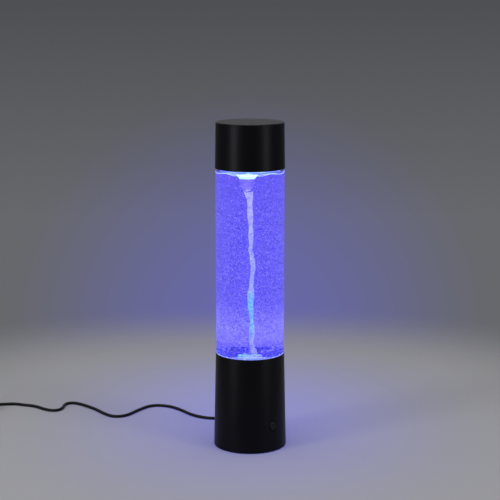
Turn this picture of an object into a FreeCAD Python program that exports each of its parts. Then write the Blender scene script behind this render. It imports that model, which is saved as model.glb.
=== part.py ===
import FreeCAD, Part
import math
import os
import Sketcher

# Tornado lamp: a black base with a motor and a ring of lights, a clear water vessel with a
# magnetic stirrer that makes the whirl, and a black lift-off cap. Millimetres, +Z up, the origin
# on the table under the lamp's axis, the front towards -Y.

doc = FreeCAD.newDocument("TornadoLamp")
sizes = doc.addObject("Spreadsheet::Sheet", "Sizes")


class Formula:
    """A length or angle as the text of a formula on the sheet, with the number that it gives."""

    def __init__(self, text, value):
        self.text = text
        self.value = float(value)

    def join(self, sign, other, value):
        return Formula(f"({self.text} {sign} {other.text})", value)

    def __add__(self, other):
        other = formula(other)
        return self.join("+", other, self.value + other.value)

    def __sub__(self, other):
        other = formula(other)
        return self.join("-", other, self.value - other.value)

    def __mul__(self, other):
        other = formula(other)
        return self.join("*", other, self.value * other.value)

    def __truediv__(self, other):
        other = formula(other)
        return self.join("/", other, self.value / other.value)

    def __radd__(self, other):
        return formula(other) + self

    def __rsub__(self, other):
        return formula(other) - self

    def __rmul__(self, other):
        return formula(other) * self

    def __neg__(self):
        return formula(0) - self

    def __float__(self):
        return self.value


def formula(thing):
    return thing if isinstance(thing, Formula) else Formula(repr(float(thing)), thing)


def size(name, number):
    """Writes one driving dimension into the sheet and gives it back as a formula."""
    row = size.row = getattr(size, "row", 0) + 1
    sizes.set(f"A{row}", name)
    sizes.set(f"B{row}", str(number))
    sizes.setAlias(f"B{row}", name)
    return Formula(f"Sizes.{name}", number)


# Base
foot_proud = size("foot_proud", 0.6)
base_height = size("base_height", 104.9)
base_foot_diameter = size("base_foot_diameter", 80.2)
base_rim_diameter = size("base_rim_diameter", 75.6)
base_wall = size("base_wall", 2.4)
base_edge_radius = size("base_edge_radius", 0.6)
fit_clearance = size("fit_clearance", 0.3)
part_gap = size("part_gap", 0.05)
boss_inset = size("boss_inset", 5.9)
boss_diameter = size("boss_diameter", 8)
boss_angle = size("boss_angle", 10.5)
boss_count = size("boss_count", 3)
rib_thickness = size("rib_thickness", 2.4)
plate_height = size("plate_height", 1.2)
plate_thickness = size("plate_thickness", 3)
foot_diameter = size("foot_diameter", 9)
foot_recess = size("foot_recess", 1)
foot_inset = size("foot_inset", 5.3)
foot_angle = size("foot_angle", 55.5)
foot_count = size("foot_count", 4)
foot_chamfer = size("foot_chamfer", 0.5)

# Screws
screw_diameter = size("screw_diameter", 2.6)
screw_length = size("screw_length", 11)
screw_head_diameter = size("screw_head_diameter", 5.2)
screw_head_height = size("screw_head_height", 1.7)
screw_slot = size("screw_slot", 0.9)
screw_point = size("screw_point", 1.2)
screw_crown = size("screw_crown", 0.5)
screw_way_gap = size("screw_way_gap", 0.1)
small_screw_diameter = size("small_screw_diameter", 1.9)
small_screw_length = size("small_screw_length", 5)
small_head_diameter = size("small_head_diameter", 3.6)
small_head_height = size("small_head_height", 1.3)

# Vessel
tube_step = size("tube_step", 0.3)
tube_wall = size("tube_wall", 2.5)
tube_length = size("tube_length", 204.7)
glue_gap = size("glue_gap", 0.1)
floor_thickness = size("floor_thickness", 2.5)
floor_drop = size("floor_drop", 4.5)
floor_fillet = size("floor_fillet", 1)
floor_lip = size("floor_lip", 0.9)
lip_height = size("lip_height", 11.9)
pin_root = size("pin_root", 1.8)
skirt_depth = size("skirt_depth", 15)
skirt_wall = size("skirt_wall", 2.5)
gasket_thickness = size("gasket_thickness", 1)
lid_insert = size("lid_insert", 2.4)
lid_height = size("lid_height", 8)
lid_wall = size("lid_wall", 2)
neck_height = size("neck_height", 10)
neck_diameter = size("neck_diameter", 24)
neck_bore = size("neck_bore", 16)
plug_depth = size("plug_depth", 8)
plug_clearance = size("plug_clearance", 0.1)
plug_lead_in = size("plug_lead_in", 1.4)
plug_taper = size("plug_taper", 0.5)
plug_head_radius = size("plug_head_radius", 1)
plug_head_diameter = size("plug_head_diameter", 22)
plug_head_thickness = size("plug_head_thickness", 3)
plug_tab_width = size("plug_tab_width", 12)
plug_tab_thickness = size("plug_tab_thickness", 3)
plug_tab_height = size("plug_tab_height", 6)

# Water and its whirl
water_drop = size("water_drop", 2.7)
whirl_radius = size("whirl_radius", 12)
whirl_core = size("whirl_core", 1)
stir_room_diameter = size("stir_room_diameter", 24)
stir_room_height = size("stir_room_height", 6)

# Stirrer in the water
pin_diameter = size("pin_diameter", 2)
pin_height = size("pin_height", 4.2)
pin_collar_diameter = size("pin_collar_diameter", 4.6)
pin_collar_thickness = size("pin_collar_thickness", 0.4)
running_gap = size("running_gap", 0.05)
stirrer_diameter = size("stirrer_diameter", 20)
stirrer_disc = size("stirrer_disc", 2.2)
stirrer_hub_diameter = size("stirrer_hub_diameter", 6)
stirrer_hub_height = size("stirrer_hub_height", 3.4)
vane_height = size("vane_height", 1.1)
vane_thickness = size("vane_thickness", 1.2)
vane_count = size("vane_count", 6)
stir_magnet_diameter = size("stir_magnet_diameter", 5)
stir_magnet_thickness = size("stir_magnet_thickness", 1.5)
stir_magnet_radius = size("stir_magnet_radius", 7)

# Cap
cap_height = size("cap_height", 49.8)
cap_step = size("cap_step", 0.1)
cap_taper = size("cap_taper", 0.8)
cap_wall = size("cap_wall", 2.4)
cap_edge_radius = size("cap_edge_radius", 1.2)
cap_rib_count = size("cap_rib_count", 6)
cap_rib_height = size("cap_rib_height", 26)
cap_rib_thickness = size("cap_rib_thickness", 1.6)
cap_rib_clearance = size("cap_rib_clearance", 0.2)

# Light deck and motor
cup_height = size("cup_height", 10)
cup_wall = size("cup_wall", 2)
deck_thickness = size("deck_thickness", 2.5)
deck_hole_diameter = size("deck_hole_diameter", 8)
lead_hole_diameter = size("lead_hole_diameter", 7)
board_thickness = size("board_thickness", 1.6)
led_board_lift = size("led_board_lift", 3.5)
led_board_gap = size("led_board_gap", 2.1)
carrier_gap = size("carrier_gap", 2)
board_post_diameter = size("board_post_diameter", 5)
board_post_inset = size("board_post_inset", 5)
board_post_angle = size("board_post_angle", 40.5)
led_side = size("led_side", 5)
led_height = size("led_height", 1.6)
led_lens_diameter = size("led_lens_diameter", 4)
led_lens_rise = size("led_lens_rise", 0.3)
led_count = size("led_count", 12)
led_inset = size("led_inset", 11)
led_angle = size("led_angle", 10.5)
reflector_foot = size("reflector_foot", 1.2)
reflector_wall = size("reflector_wall", 0.8)
reflector_gap = size("reflector_gap", 0.5)
motor_diameter = size("motor_diameter", 24.4)
motor_length = size("motor_length", 18.5)
motor_wall = size("motor_wall", 0.8)
end_bell_thickness = size("end_bell_thickness", 2)
motor_magnet_thickness = size("motor_magnet_thickness", 2)
rotor_gap = size("rotor_gap", 0.5)
rotor_length = size("rotor_length", 9)
rotor_pole_count = size("rotor_pole_count", 3)
rotor_core_diameter = size("rotor_core_diameter", 7)
rotor_pole_width = size("rotor_pole_width", 4)
rotor_shoe_depth = size("rotor_shoe_depth", 1.6)
rotor_shoe_width = size("rotor_shoe_width", 9)
rotor_shoe_crown = size("rotor_shoe_crown", 0.9)
shaft_diameter = size("shaft_diameter", 2)
shaft_sunk = size("shaft_sunk", 1)
motor_screw_radius = size("motor_screw_radius", 8.5)
carrier_diameter = size("carrier_diameter", 26)
carrier_height = size("carrier_height", 8)
carrier_edge_radius = size("carrier_edge_radius", 1)
magnet_gap = size("magnet_gap", 2)
drive_magnet_diameter = size("drive_magnet_diameter", 8)
drive_magnet_thickness = size("drive_magnet_thickness", 3)
drive_magnet_radius = size("drive_magnet_radius", 7)

# Control board, switch and button
button_angle = size("button_angle", -49.5)
button_height = size("button_height", 29)
button_diameter = size("button_diameter", 9.6)
button_gap = size("button_gap", 0.8)
button_proud = size("button_proud", 0.4)
button_flange_diameter = size("button_flange_diameter", 15)
button_flange_thickness = size("button_flange_thickness", 1.4)
button_flange_seat = size("button_flange_seat", 0.95)
button_stem_diameter = size("button_stem_diameter", 4)
button_stem_length = size("button_stem_length", 3.4)
button_edge_radius = size("button_edge_radius", 0.7)
button_travel = size("button_travel", 1)
switch_side = size("switch_side", 8)
switch_depth = size("switch_depth", 5)
plunger_diameter = size("plunger_diameter", 3.2)
plunger_buried = size("plunger_buried", 2.5)
plunger_spare = size("plunger_spare", 0.5)
plunger_proud = size("plunger_proud", 2.2)
control_board_width = size("control_board_width", 30)
control_board_height = size("control_board_height", 46)
rail_width = size("rail_width", 5)
rail_depth = size("rail_depth", 6)
rail_height = size("rail_height", 10)
rail_grip = size("rail_grip", 2)
chip_width = size("chip_width", 6)
chip_length = size("chip_length", 10)
chip_thickness = size("chip_thickness", 1.8)
chip_height = size("chip_height", 26)
capacitor_diameter = size("capacitor_diameter", 6.3)
capacitor_length = size("capacitor_length", 7.7)
capacitor_height = size("capacitor_height", 14)
capacitor_offset = size("capacitor_offset", 8)
connector_width = size("connector_width", 14)
connector_depth = size("connector_depth", 4)
connector_length = size("connector_length", 6)
connector_height = size("connector_height", 42)
lead_diameter = size("lead_diameter", 1)
lead_pitch = size("lead_pitch", 1.8)
inlet_block_side = size("inlet_block_side", 6)
inlet_block_height = size("inlet_block_height", 8)

# Cord, its inlet and its plug
cord_diameter = size("cord_diameter", 3.5)
cord_exit_height = size("cord_exit_height", 10)
inlet_hole_diameter = size("inlet_hole_diameter", 8)
inlet_flange_diameter = size("inlet_flange_diameter", 11)
inlet_flange_thickness = size("inlet_flange_thickness", 1.6)
relief_root_diameter = size("relief_root_diameter", 7)
relief_tip_diameter = size("relief_tip_diameter", 4.6)
relief_reach = size("relief_reach", 15)
inlet_flange_gap = size("inlet_flange_gap", 0.6)
relief_seat = size("relief_seat", 0.35)
coil_inner_turn = size("coil_inner_turn", 17.4)
coil_pitch = size("coil_pitch", 3.65)
coil_rings = size("coil_rings", 2)
coil_layers = size("coil_layers", 4)
coil_stub = size("coil_stub", 12.5)
tail_reach = size("tail_reach", 34)
grip_length = size("grip_length", 27)
grip_width = size("grip_width", 15.6)
grip_thickness = size("grip_thickness", 8)
grip_radius = size("grip_radius", 2)
grip_tail_length = size("grip_tail_length", 9)
grip_tail_diameter = size("grip_tail_diameter", 5.6)
grip_tail_tip = size("grip_tail_tip", 4.8)
shell_length = size("shell_length", 12)
shell_width = size("shell_width", 12)
shell_thickness = size("shell_thickness", 4.5)
shell_metal = size("shell_metal", 0.35)
tongue_thickness = size("tongue_thickness", 1.9)

doc.recompute()

# Heights and radii that follow from the sizes
foot_radius = base_foot_diameter / 2
rim_radius = base_rim_diameter / 2
rim_z = foot_proud + base_height
tube_top_z = rim_z + tube_length
top_z = tube_top_z + cap_height
tube_outer = rim_radius - tube_step
tube_inner = tube_outer - tube_wall
floor_top_z = rim_z - floor_drop
floor_under_z = floor_top_z - floor_thickness
skirt_foot_z = rim_z - skirt_depth
skirt_outer = rim_radius - base_wall - fit_clearance
cup_top_z = skirt_foot_z - gasket_thickness
deck_z = cup_top_z - cup_height
deck_top_z = deck_z + deck_thickness
led_board_z = deck_top_z + led_board_lift
led_board_top_z = led_board_z + board_thickness
plate_top_z = plate_height + plate_thickness
water_z = tube_top_z - water_drop
lid_top_z = tube_top_z + lid_height
neck_top_z = lid_top_z + neck_height
boss_circle_radius = rim_radius - base_wall - boss_inset
led_board_radius = skirt_outer - cup_wall - led_board_gap
board_post_radius = led_board_radius - board_post_inset
led_circle_radius = led_board_radius - led_inset
carrier_top_z = floor_under_z - magnet_gap
carrier_z = carrier_top_z - carrier_height
motor_foot_z = deck_z - motor_length


def shell_radius(height):
    """The base shell's outer radius at a height above the table."""
    return foot_radius - (foot_radius - rim_radius) * (height - foot_proud) / base_height


def wall_radius(height):
    """The base shell's inner radius at a height below the light deck."""
    foot = foot_radius - base_wall
    return foot - (foot_radius - rim_radius) * (height - foot_proud) / (deck_z - foot_proud)


# From the wall at the button's height inwards: the button, the switch and the control board
button_wall = shell_radius(button_height)
button_face = button_wall + button_proud
flange_face = wall_radius(button_height) - button_flange_seat
flange_back = flange_face - button_flange_thickness
stem_end = flange_back - button_stem_length
switch_face = stem_end - plunger_proud
board_face = switch_face - switch_depth
control_board_radius = board_face - board_thickness
lead_hole_radius = control_board_radius - connector_depth / 2
hole_cut = foot_radius + rim_radius

nodes = []


def node(name):
    """Starts the body of one sub-part."""
    body = doc.addObject("PartDesign::Body", name)
    body.Label = name
    body.AllowCompound = True
    nodes.append(body)
    return body


def origin_part(body, role):
    return next(part for part in body.Origin.OriginFeatures if part.Role == role)


def sketch(body, name, plane, lift=None, turn=None):
    """A sketch on one of the body's own planes, raised by lift and turned about the vertical."""
    drawing = body.newObject("Sketcher::SketchObject", name)
    drawing.AttachmentSupport = [(origin_part(body, plane), "")]
    drawing.MapMode = "FlatFace"
    axis = FreeCAD.Vector(0, 0, 1) if plane == "XY_Plane" else FreeCAD.Vector(0, 1, 0)
    drawing.AttachmentOffset = FreeCAD.Placement(
        FreeCAD.Vector(0, 0, float(lift or 0)), FreeCAD.Rotation(axis, float(turn or 0))
    )
    if lift is not None:
        drawing.setExpression("AttachmentOffset.Base.z", lift.text)
    if turn is not None:
        drawing.setExpression("AttachmentOffset.Rotation.Angle", turn.text)
    return drawing


def hold(drawing, kind, *place, by):
    """Adds one dimension to a sketch and ties it to its formula."""
    by = formula(by)
    index = drawing.addConstraint(Sketcher.Constraint(kind, *place, by.value))
    drawing.setExpression(f"Constraints[{index}]", by.text)


def outline(drawing, points):
    """A closed outline whose corners are all held from the sketch's own origin."""
    points = [(formula(across), formula(up)) for across, up in points]
    first = drawing.GeometryCount
    count = len(points)
    for i, (across, up) in enumerate(points):
        next_across, next_up = points[(i + 1) % count]
        start = FreeCAD.Vector(across.value, up.value, 0)
        end = FreeCAD.Vector(next_across.value, next_up.value, 0)
        drawing.addGeometry(Part.LineSegment(start, end), False)
    for i in range(count):
        drawing.addConstraint(
            Sketcher.Constraint("Coincident", first + i, 2, first + (i + 1) % count, 1)
        )
    for i, (across, up) in enumerate(points):
        hold(drawing, "DistanceX", -1, 1, first + i, 1, by=across)
        hold(drawing, "DistanceY", -1, 1, first + i, 1, by=up)


def rectangle(drawing, left, low, right, high):
    outline(drawing, [(left, low), (right, low), (right, high), (left, high)])


def circle(drawing, across, up, radius):
    across, up, radius = formula(across), formula(up), formula(radius)
    centre = FreeCAD.Vector(across.value, up.value, 0)
    index = drawing.addGeometry(
        Part.Circle(centre, FreeCAD.Vector(0, 0, 1), radius.value), False
    )
    hold(drawing, "DistanceX", -1, 1, index, 3, by=across)
    hold(drawing, "DistanceY", -1, 1, index, 3, by=up)
    hold(drawing, "Radius", index, by=radius)


def revolve(body, drawing, axis="V_Axis"):
    feature = body.newObject("PartDesign::Revolution", drawing.Label + "Turned")
    feature.Profile = drawing
    feature.ReferenceAxis = (drawing, [axis])
    feature.Angle = 360
    doc.recompute()
    return feature


def pad(body, drawing, length, backwards=False, both_ways=False):
    length = formula(length)
    feature = body.newObject("PartDesign::Pad", drawing.Label + "Pad")
    feature.Profile = drawing
    feature.Length = length.value
    feature.setExpression("Length", length.text)
    feature.Reversed = backwards
    feature.Midplane = both_ways
    doc.recompute()
    return feature


def pocket(body, drawing, length, forwards=False):
    """Cuts a pocket and makes sure that it took something away."""
    length = formula(length)
    before = body.Shape.Volume
    feature = body.newObject("PartDesign::Pocket", drawing.Label + "Cut")
    feature.Profile = drawing
    feature.Length = length.value
    feature.setExpression("Length", length.text)
    feature.Reversed = forwards
    doc.recompute()
    if not body.Shape.Volume < before:
        raise RuntimeError(f"{feature.Label} cuts nothing from {body.Label}")
    return feature


def ring_of(body, features, count):
    """Repeats features evenly about the body's vertical axis."""
    count = formula(count)
    pattern = body.newObject("PartDesign::PolarPattern", features[0].Label + "Ring")
    pattern.Originals = features
    pattern.Axis = (origin_part(body, "Z_Axis"), [""])
    pattern.Angle = 360
    pattern.Occurrences = int(count.value)
    pattern.setExpression("Occurrences", count.text)
    body.Tip = pattern
    doc.recompute()
    return pattern


def circle_edges(shape, places, axis="z"):
    """The round edges of a shape at the given radius and height, or radius and reach along X."""
    found = []
    for number, edge in enumerate(shape.Edges, 1):
        if not isinstance(edge.Curve, Part.Circle):
            continue
        centre = edge.Curve.Center
        along = centre.z if axis == "z" else centre.x
        for radius, height in places:
            near = abs(edge.Curve.Radius - float(radius)) + abs(along - float(height))
            if near < 1e-4:
                found.append(f"Edge{number}")
    return found


def round_edges(body, places, radius, axis="z"):
    """Rounds round edges of the body's last feature."""
    radius = formula(radius)
    base = body.Tip
    edges = circle_edges(base.Shape, places, axis)
    if not edges:
        raise RuntimeError(f"no edge to round on {body.Label}")
    feature = body.newObject("PartDesign::Fillet", body.Label + f"Round{len(body.Group)}")
    feature.Base = (base, edges)
    feature.Radius = radius.value
    feature.setExpression("Radius", radius.text)
    doc.recompute()
    return feature


def turn_to(body, angle, height):
    """Points a body's own X axis outwards from the lamp's axis at an angle and a height."""
    body.Placement = FreeCAD.Placement(
        FreeCAD.Vector(0, 0, float(height)),
        FreeCAD.Rotation(FreeCAD.Vector(0, 0, 1), float(angle)),
    )
    body.setExpression("Placement.Base.z", formula(height).text)
    body.setExpression("Placement.Rotation.Angle", formula(angle).text)


# Base shell: a moulded tapering tube, open at both ends, with a straight seat for the light deck
# and the vessel's skirt at its top, and three screw columns on ribs
base_shell = node("base_shell")
wall = sketch(base_shell, "ShellWall", "XZ_Plane")
outline(wall, [
    (foot_radius - base_wall, foot_proud),
    (foot_radius, foot_proud),
    (rim_radius, rim_z),
    (rim_radius - base_wall, rim_z),
    (rim_radius - base_wall, deck_z),
])
revolve(base_shell, wall)
round_edges(base_shell, [(rim_radius, rim_z)], base_edge_radius)
round_edges(base_shell, [(foot_radius, foot_proud)], base_edge_radius)
column = sketch(base_shell, "ShellColumn", "XY_Plane", plate_top_z, boss_angle)
circle(column, boss_circle_radius, 0, boss_diameter / 2)
column_pad = pad(base_shell, column, deck_z - plate_top_z)
rib = sketch(base_shell, "ShellRib", "XZ_Plane", turn=boss_angle)
outline(rib, [
    (boss_circle_radius, plate_top_z),
    ((shell_radius(plate_top_z) + wall_radius(plate_top_z)) / 2, plate_top_z),
    ((shell_radius(deck_z) + wall_radius(deck_z)) / 2, deck_z),
    (boss_circle_radius, deck_z),
])
rib_pad = pad(base_shell, rib, rib_thickness, both_ways=True)
pilot = sketch(base_shell, "ShellPilot", "XY_Plane", plate_top_z, boss_angle)
circle(pilot, boss_circle_radius, 0, screw_diameter / 2 + part_gap)
pilot_cut = pocket(base_shell, pilot, deck_z - plate_top_z, forwards=True)
ring_of(base_shell, [column_pad, rib_pad, pilot_cut], boss_count)
button_hole = sketch(base_shell, "ShellButtonHole", "YZ_Plane", turn=button_angle)
circle(button_hole, 0, button_height, button_diameter / 2 + button_gap)
pocket(base_shell, button_hole, hole_cut, forwards=True)
inlet_hole = sketch(base_shell, "ShellInletHole", "XZ_Plane")
circle(inlet_hole, 0, cord_exit_height, inlet_hole_diameter / 2)
pocket(base_shell, inlet_hole, hole_cut)


# Base plate: a moulded disc that closes the base, with rails for the control board
base_plate = node("base_plate")
plate_radius = wall_radius(plate_top_z) - fit_clearance
foot_circle_radius = plate_radius - foot_inset
disc = sketch(base_plate, "PlateDisc", "XY_Plane", plate_height)
circle(disc, 0, 0, plate_radius)
pad(base_plate, disc, plate_thickness)
rail_inner = control_board_radius - (rail_depth - board_thickness) / 2
for side in (-1, 1):
    rail = sketch(base_plate, f"PlateRail{side + 1}", "XY_Plane", plate_top_z, button_angle)
    near = side * (control_board_width / 2 - rail_grip)
    far = side * (control_board_width / 2 - rail_grip + rail_width)
    rectangle(rail, rail_inner, near, rail_inner + rail_depth, far)
    pad(base_plate, rail, rail_height)
slot = sketch(base_plate, "PlateSlot", "XY_Plane", plate_top_z, button_angle)
rectangle(
    slot,
    control_board_radius - part_gap,
    -control_board_width / 2 - part_gap,
    control_board_radius + board_thickness + part_gap,
    control_board_width / 2 + part_gap,
)
pocket(base_plate, slot, rail_height, forwards=True)
screw_way = screw_diameter / 2 + screw_way_gap
head_room = screw_head_height + screw_way_gap
way = sketch(base_plate, "PlateScrewWay", "XY_Plane", plate_height, boss_angle)
circle(way, boss_circle_radius, 0, screw_way)
way_cut = pocket(base_plate, way, plate_thickness, forwards=True)
sink = sketch(base_plate, "PlateScrewSink", "XY_Plane", plate_height, boss_angle)
circle(sink, boss_circle_radius, 0, screw_head_diameter / 2 + screw_way_gap)
sink_cut = pocket(base_plate, sink, head_room, forwards=True)
ring_of(base_plate, [way_cut, sink_cut], boss_count)
seat = sketch(base_plate, "PlateFootSeat", "XY_Plane", plate_height, foot_angle)
circle(seat, foot_circle_radius, 0, foot_diameter / 2 + screw_way_gap)
seat_cut = pocket(base_plate, seat, foot_recess, forwards=True)
ring_of(base_plate, [seat_cut], foot_count)


def turned_at(body, name, radius, angle, profile):
    """Turns a profile of (radius, height) about an upright axis that stands off the lamp's own."""
    drawing = sketch(body, name, "XZ_Plane", turn=angle)
    line = Part.LineSegment(
        FreeCAD.Vector(float(radius), 0, 0), FreeCAD.Vector(float(radius), 1, 0)
    )
    drawing.addGeometry(line, True)
    hold(drawing, "DistanceX", -1, 1, 0, 1, by=radius)
    hold(drawing, "DistanceY", -1, 1, 0, 1, by=0)
    hold(drawing, "DistanceX", -1, 1, 0, 2, by=radius)
    hold(drawing, "DistanceY", -1, 1, 0, 2, by=1)
    outline(drawing, [(radius + across, up) for across, up in profile])
    return revolve(body, drawing, "Axis0")


# Rubber feet, pressed into the plate's seats
rubber_feet = node("rubber_feet")
foot_turned = turned_at(rubber_feet, "Foot", foot_circle_radius, foot_angle, [
    (0, 0),
    (foot_diameter / 2 - foot_chamfer, 0),
    (foot_diameter / 2, foot_chamfer),
    (foot_diameter / 2, plate_height + foot_recess),
    (0, plate_height + foot_recess),
])
ring_of(rubber_feet, [foot_turned], foot_count)


def screws(name, radius, angle, seat_z, way, head, shank, count):
    """A ring of pan-head screws: way is 1 where the shank points up from its seat, or -1."""
    body = node(name)
    head_diameter, head_height = head
    shank_diameter, shank_length = shank
    top = seat_z - way * head_height
    turned = turned_at(body, name.title().replace("_", ""), radius, angle, [
        (0, top),
        (head_diameter / 2 - screw_crown, top),
        (head_diameter / 2, top + way * screw_crown),
        (head_diameter / 2, seat_z),
        (shank_diameter / 2, seat_z),
        (shank_diameter / 2, seat_z + way * (shank_length - screw_point)),
        (0, seat_z + way * shank_length),
    ])
    drive = sketch(body, name.title().replace("_", "") + "Slot", "XY_Plane", top, angle)
    half = head_diameter / 2
    rectangle(drive, radius - half, -screw_slot / 2, radius + half, screw_slot / 2)
    cut = pocket(body, drive, head_height / 2, forwards=way > 0)
    ring_of(body, [turned, cut], count)
    return body


big_head = (screw_head_diameter, screw_head_height)
small_head = (small_head_diameter, small_head_height)
screws(
    "plate_screws",
    boss_circle_radius,
    boss_angle,
    plate_height + head_room,
    1,
    big_head,
    (screw_diameter, screw_length),
    boss_count,
)

# Light deck: a white moulded cup that drops in from the top, stands on the columns and carries
# the motor below and the ring of lights above
light_deck = node("light_deck")
cup = sketch(light_deck, "DeckCup", "XZ_Plane")
outline(cup, [
    (deck_hole_diameter / 2, deck_z),
    (skirt_outer, deck_z),
    (skirt_outer, cup_top_z),
    (skirt_outer - cup_wall, cup_top_z),
    (skirt_outer - cup_wall, deck_top_z),
    (deck_hole_diameter / 2, deck_top_z),
])
revolve(light_deck, cup)
post = sketch(light_deck, "DeckPost", "XY_Plane", deck_top_z, board_post_angle)
circle(post, board_post_radius, 0, board_post_diameter / 2)
post_pad = pad(light_deck, post, led_board_lift)
post_pilot = sketch(light_deck, "DeckPilot", "XY_Plane", deck_z, board_post_angle)
circle(post_pilot, board_post_radius, 0, small_screw_diameter / 2 + part_gap)
post_cut = pocket(light_deck, post_pilot, deck_thickness + led_board_lift, forwards=True)
deck_way = sketch(light_deck, "DeckScrewWay", "XY_Plane", deck_z, boss_angle)
circle(deck_way, boss_circle_radius, 0, screw_way)
deck_way_cut = pocket(light_deck, deck_way, deck_thickness, forwards=True)
ring_of(light_deck, [post_pad, post_cut, deck_way_cut], boss_count)
motor_way = sketch(light_deck, "DeckMotorWay", "XY_Plane", deck_z, boss_angle)
circle(motor_way, motor_screw_radius, 0, small_screw_diameter / 2 + screw_way_gap)
motor_way_cut = pocket(light_deck, motor_way, deck_thickness, forwards=True)
ring_of(light_deck, [motor_way_cut], 2)
lead_way = sketch(light_deck, "DeckLeadWay", "XY_Plane", deck_z, button_angle)
circle(lead_way, lead_hole_radius, 0, lead_hole_diameter / 2)
pocket(light_deck, lead_way, deck_thickness, forwards=True)
screws(
    "deck_screws",
    boss_circle_radius,
    boss_angle,
    deck_top_z,
    -1,
    big_head,
    (screw_diameter, screw_length),
    boss_count,
)

# Ring of lights on its board, held by small screws
led_board = node("led_board")
ring = sketch(led_board, "BoardRing", "XY_Plane", led_board_z)
circle(ring, 0, 0, led_board_radius)
circle(ring, 0, 0, carrier_diameter / 2 + carrier_gap)
pad(led_board, ring, board_thickness)
board_way = sketch(led_board, "BoardScrewWay", "XY_Plane", led_board_z, board_post_angle)
circle(board_way, board_post_radius, 0, small_screw_diameter / 2 + screw_way_gap)
board_cut = pocket(led_board, board_way, board_thickness, forwards=True)
ring_of(led_board, [board_cut], boss_count)
leds = node("leds")
chip = sketch(leds, "LedCase", "XY_Plane", led_board_top_z, led_angle)
rectangle(
    chip,
    led_circle_radius - led_side / 2,
    -led_side / 2,
    led_circle_radius + led_side / 2,
    led_side / 2,
)
chip_pad = pad(leds, chip, led_height)
lens = sketch(leds, "LedLens", "XY_Plane", led_board_top_z + led_height, led_angle)
circle(lens, led_circle_radius, 0, led_lens_diameter / 2)
lens_pad = pad(leds, lens, led_lens_rise)
ring_of(leds, [chip_pad, lens_pad], led_count)
screws(
    "led_board_screws",
    board_post_radius,
    board_post_angle,
    led_board_top_z,
    -1,
    small_head,
    (small_screw_diameter, small_screw_length),
    boss_count,
)

# White reflector wall that stands on the board inside the vessel's skirt
light_reflector = node("light_reflector")
reflector_outer = skirt_outer - skirt_wall - fit_clearance
reflector_top_z = floor_under_z - reflector_gap
flare_z = led_board_top_z + reflector_foot
flange = sketch(light_reflector, "ReflectorWall", "XZ_Plane")
outline(flange, [
    (led_board_radius - reflector_foot, led_board_top_z),
    (led_board_radius, led_board_top_z),
    (reflector_outer, flare_z),
    (reflector_outer, reflector_top_z),
    (reflector_outer - reflector_wall, reflector_top_z),
])
revolve(light_reflector, flange)

# Motor: steel can, plastic end bell, magnet ring, and the rotor that turns in it
motor_can = node("motor_can")
motor_radius = motor_diameter / 2
shaft_way = shaft_diameter / 2 + running_gap
can = sketch(motor_can, "CanWall", "XZ_Plane")
outline(can, [
    (shaft_way, deck_z + motor_wall),
    (deck_hole_diameter / 2 - fit_clearance, deck_z + motor_wall),
    (deck_hole_diameter / 2 - fit_clearance, deck_z),
    (motor_radius, deck_z),
    (motor_radius, motor_foot_z + end_bell_thickness),
    (motor_radius - motor_wall, motor_foot_z + end_bell_thickness),
    (motor_radius - motor_wall, deck_z - motor_wall),
    (shaft_way, deck_z - motor_wall),
])
revolve(motor_can, can)
can_way = sketch(motor_can, "CanScrewWay", "XY_Plane", deck_z - motor_wall, boss_angle)
circle(can_way, motor_screw_radius, 0, small_screw_diameter / 2 + part_gap)
can_cut = pocket(motor_can, can_way, motor_wall, forwards=True)
ring_of(motor_can, [can_cut], 2)
screws(
    "motor_screws",
    motor_screw_radius,
    boss_angle,
    deck_top_z,
    -1,
    small_head,
    (small_screw_diameter, deck_thickness + motor_wall),
    2,
)
motor_end_bell = node("motor_end_bell")
bell = sketch(motor_end_bell, "BellDisc", "XZ_Plane")
outline(bell, [
    (shaft_way, motor_foot_z),
    (motor_radius, motor_foot_z),
    (motor_radius, motor_foot_z + end_bell_thickness),
    (shaft_way, motor_foot_z + end_bell_thickness),
])
revolve(motor_end_bell, bell)
motor_magnet = node("motor_magnet")
magnet_outer = motor_radius - motor_wall - part_gap
magnet_inner = magnet_outer - motor_magnet_thickness
rotor_low_z = motor_foot_z + end_bell_thickness * 2
field = sketch(motor_magnet, "MagnetRing", "XY_Plane", rotor_low_z)
circle(field, 0, 0, magnet_outer)
circle(field, 0, 0, magnet_inner)
pad(motor_magnet, field, rotor_length)
motor_rotor = node("motor_rotor")
core = sketch(motor_rotor, "RotorCore", "XY_Plane", rotor_low_z)
circle(core, 0, 0, rotor_core_diameter / 2)
circle(core, 0, 0, shaft_diameter / 2 + part_gap)
pad(motor_rotor, core, rotor_length)
rotor_radius = magnet_inner - rotor_gap
pole = sketch(motor_rotor, "RotorPole", "XY_Plane", rotor_low_z)
shoe_inner = rotor_radius - rotor_shoe_depth
pole_half, shoe_half = rotor_pole_width / 2, rotor_shoe_width / 2
shoe_edge = rotor_radius - rotor_shoe_crown
outline(pole, [
    (shaft_diameter, -pole_half),
    (shoe_inner, -pole_half),
    (shoe_inner - rotor_shoe_crown, -shoe_half),
    (shoe_edge, -shoe_half),
    (rotor_radius, 0),
    (shoe_edge, shoe_half),
    (shoe_inner - rotor_shoe_crown, shoe_half),
    (shoe_inner, pole_half),
    (shaft_diameter, pole_half),
])
pole_pad = pad(motor_rotor, pole, rotor_length)
ring_of(motor_rotor, [pole_pad], rotor_pole_count)
motor_shaft = node("motor_shaft")
rod = sketch(motor_shaft, "ShaftRod", "XY_Plane", motor_foot_z)
circle(rod, 0, 0, shaft_diameter / 2)
pad(motor_shaft, rod, carrier_top_z - shaft_sunk - motor_foot_z)

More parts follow.
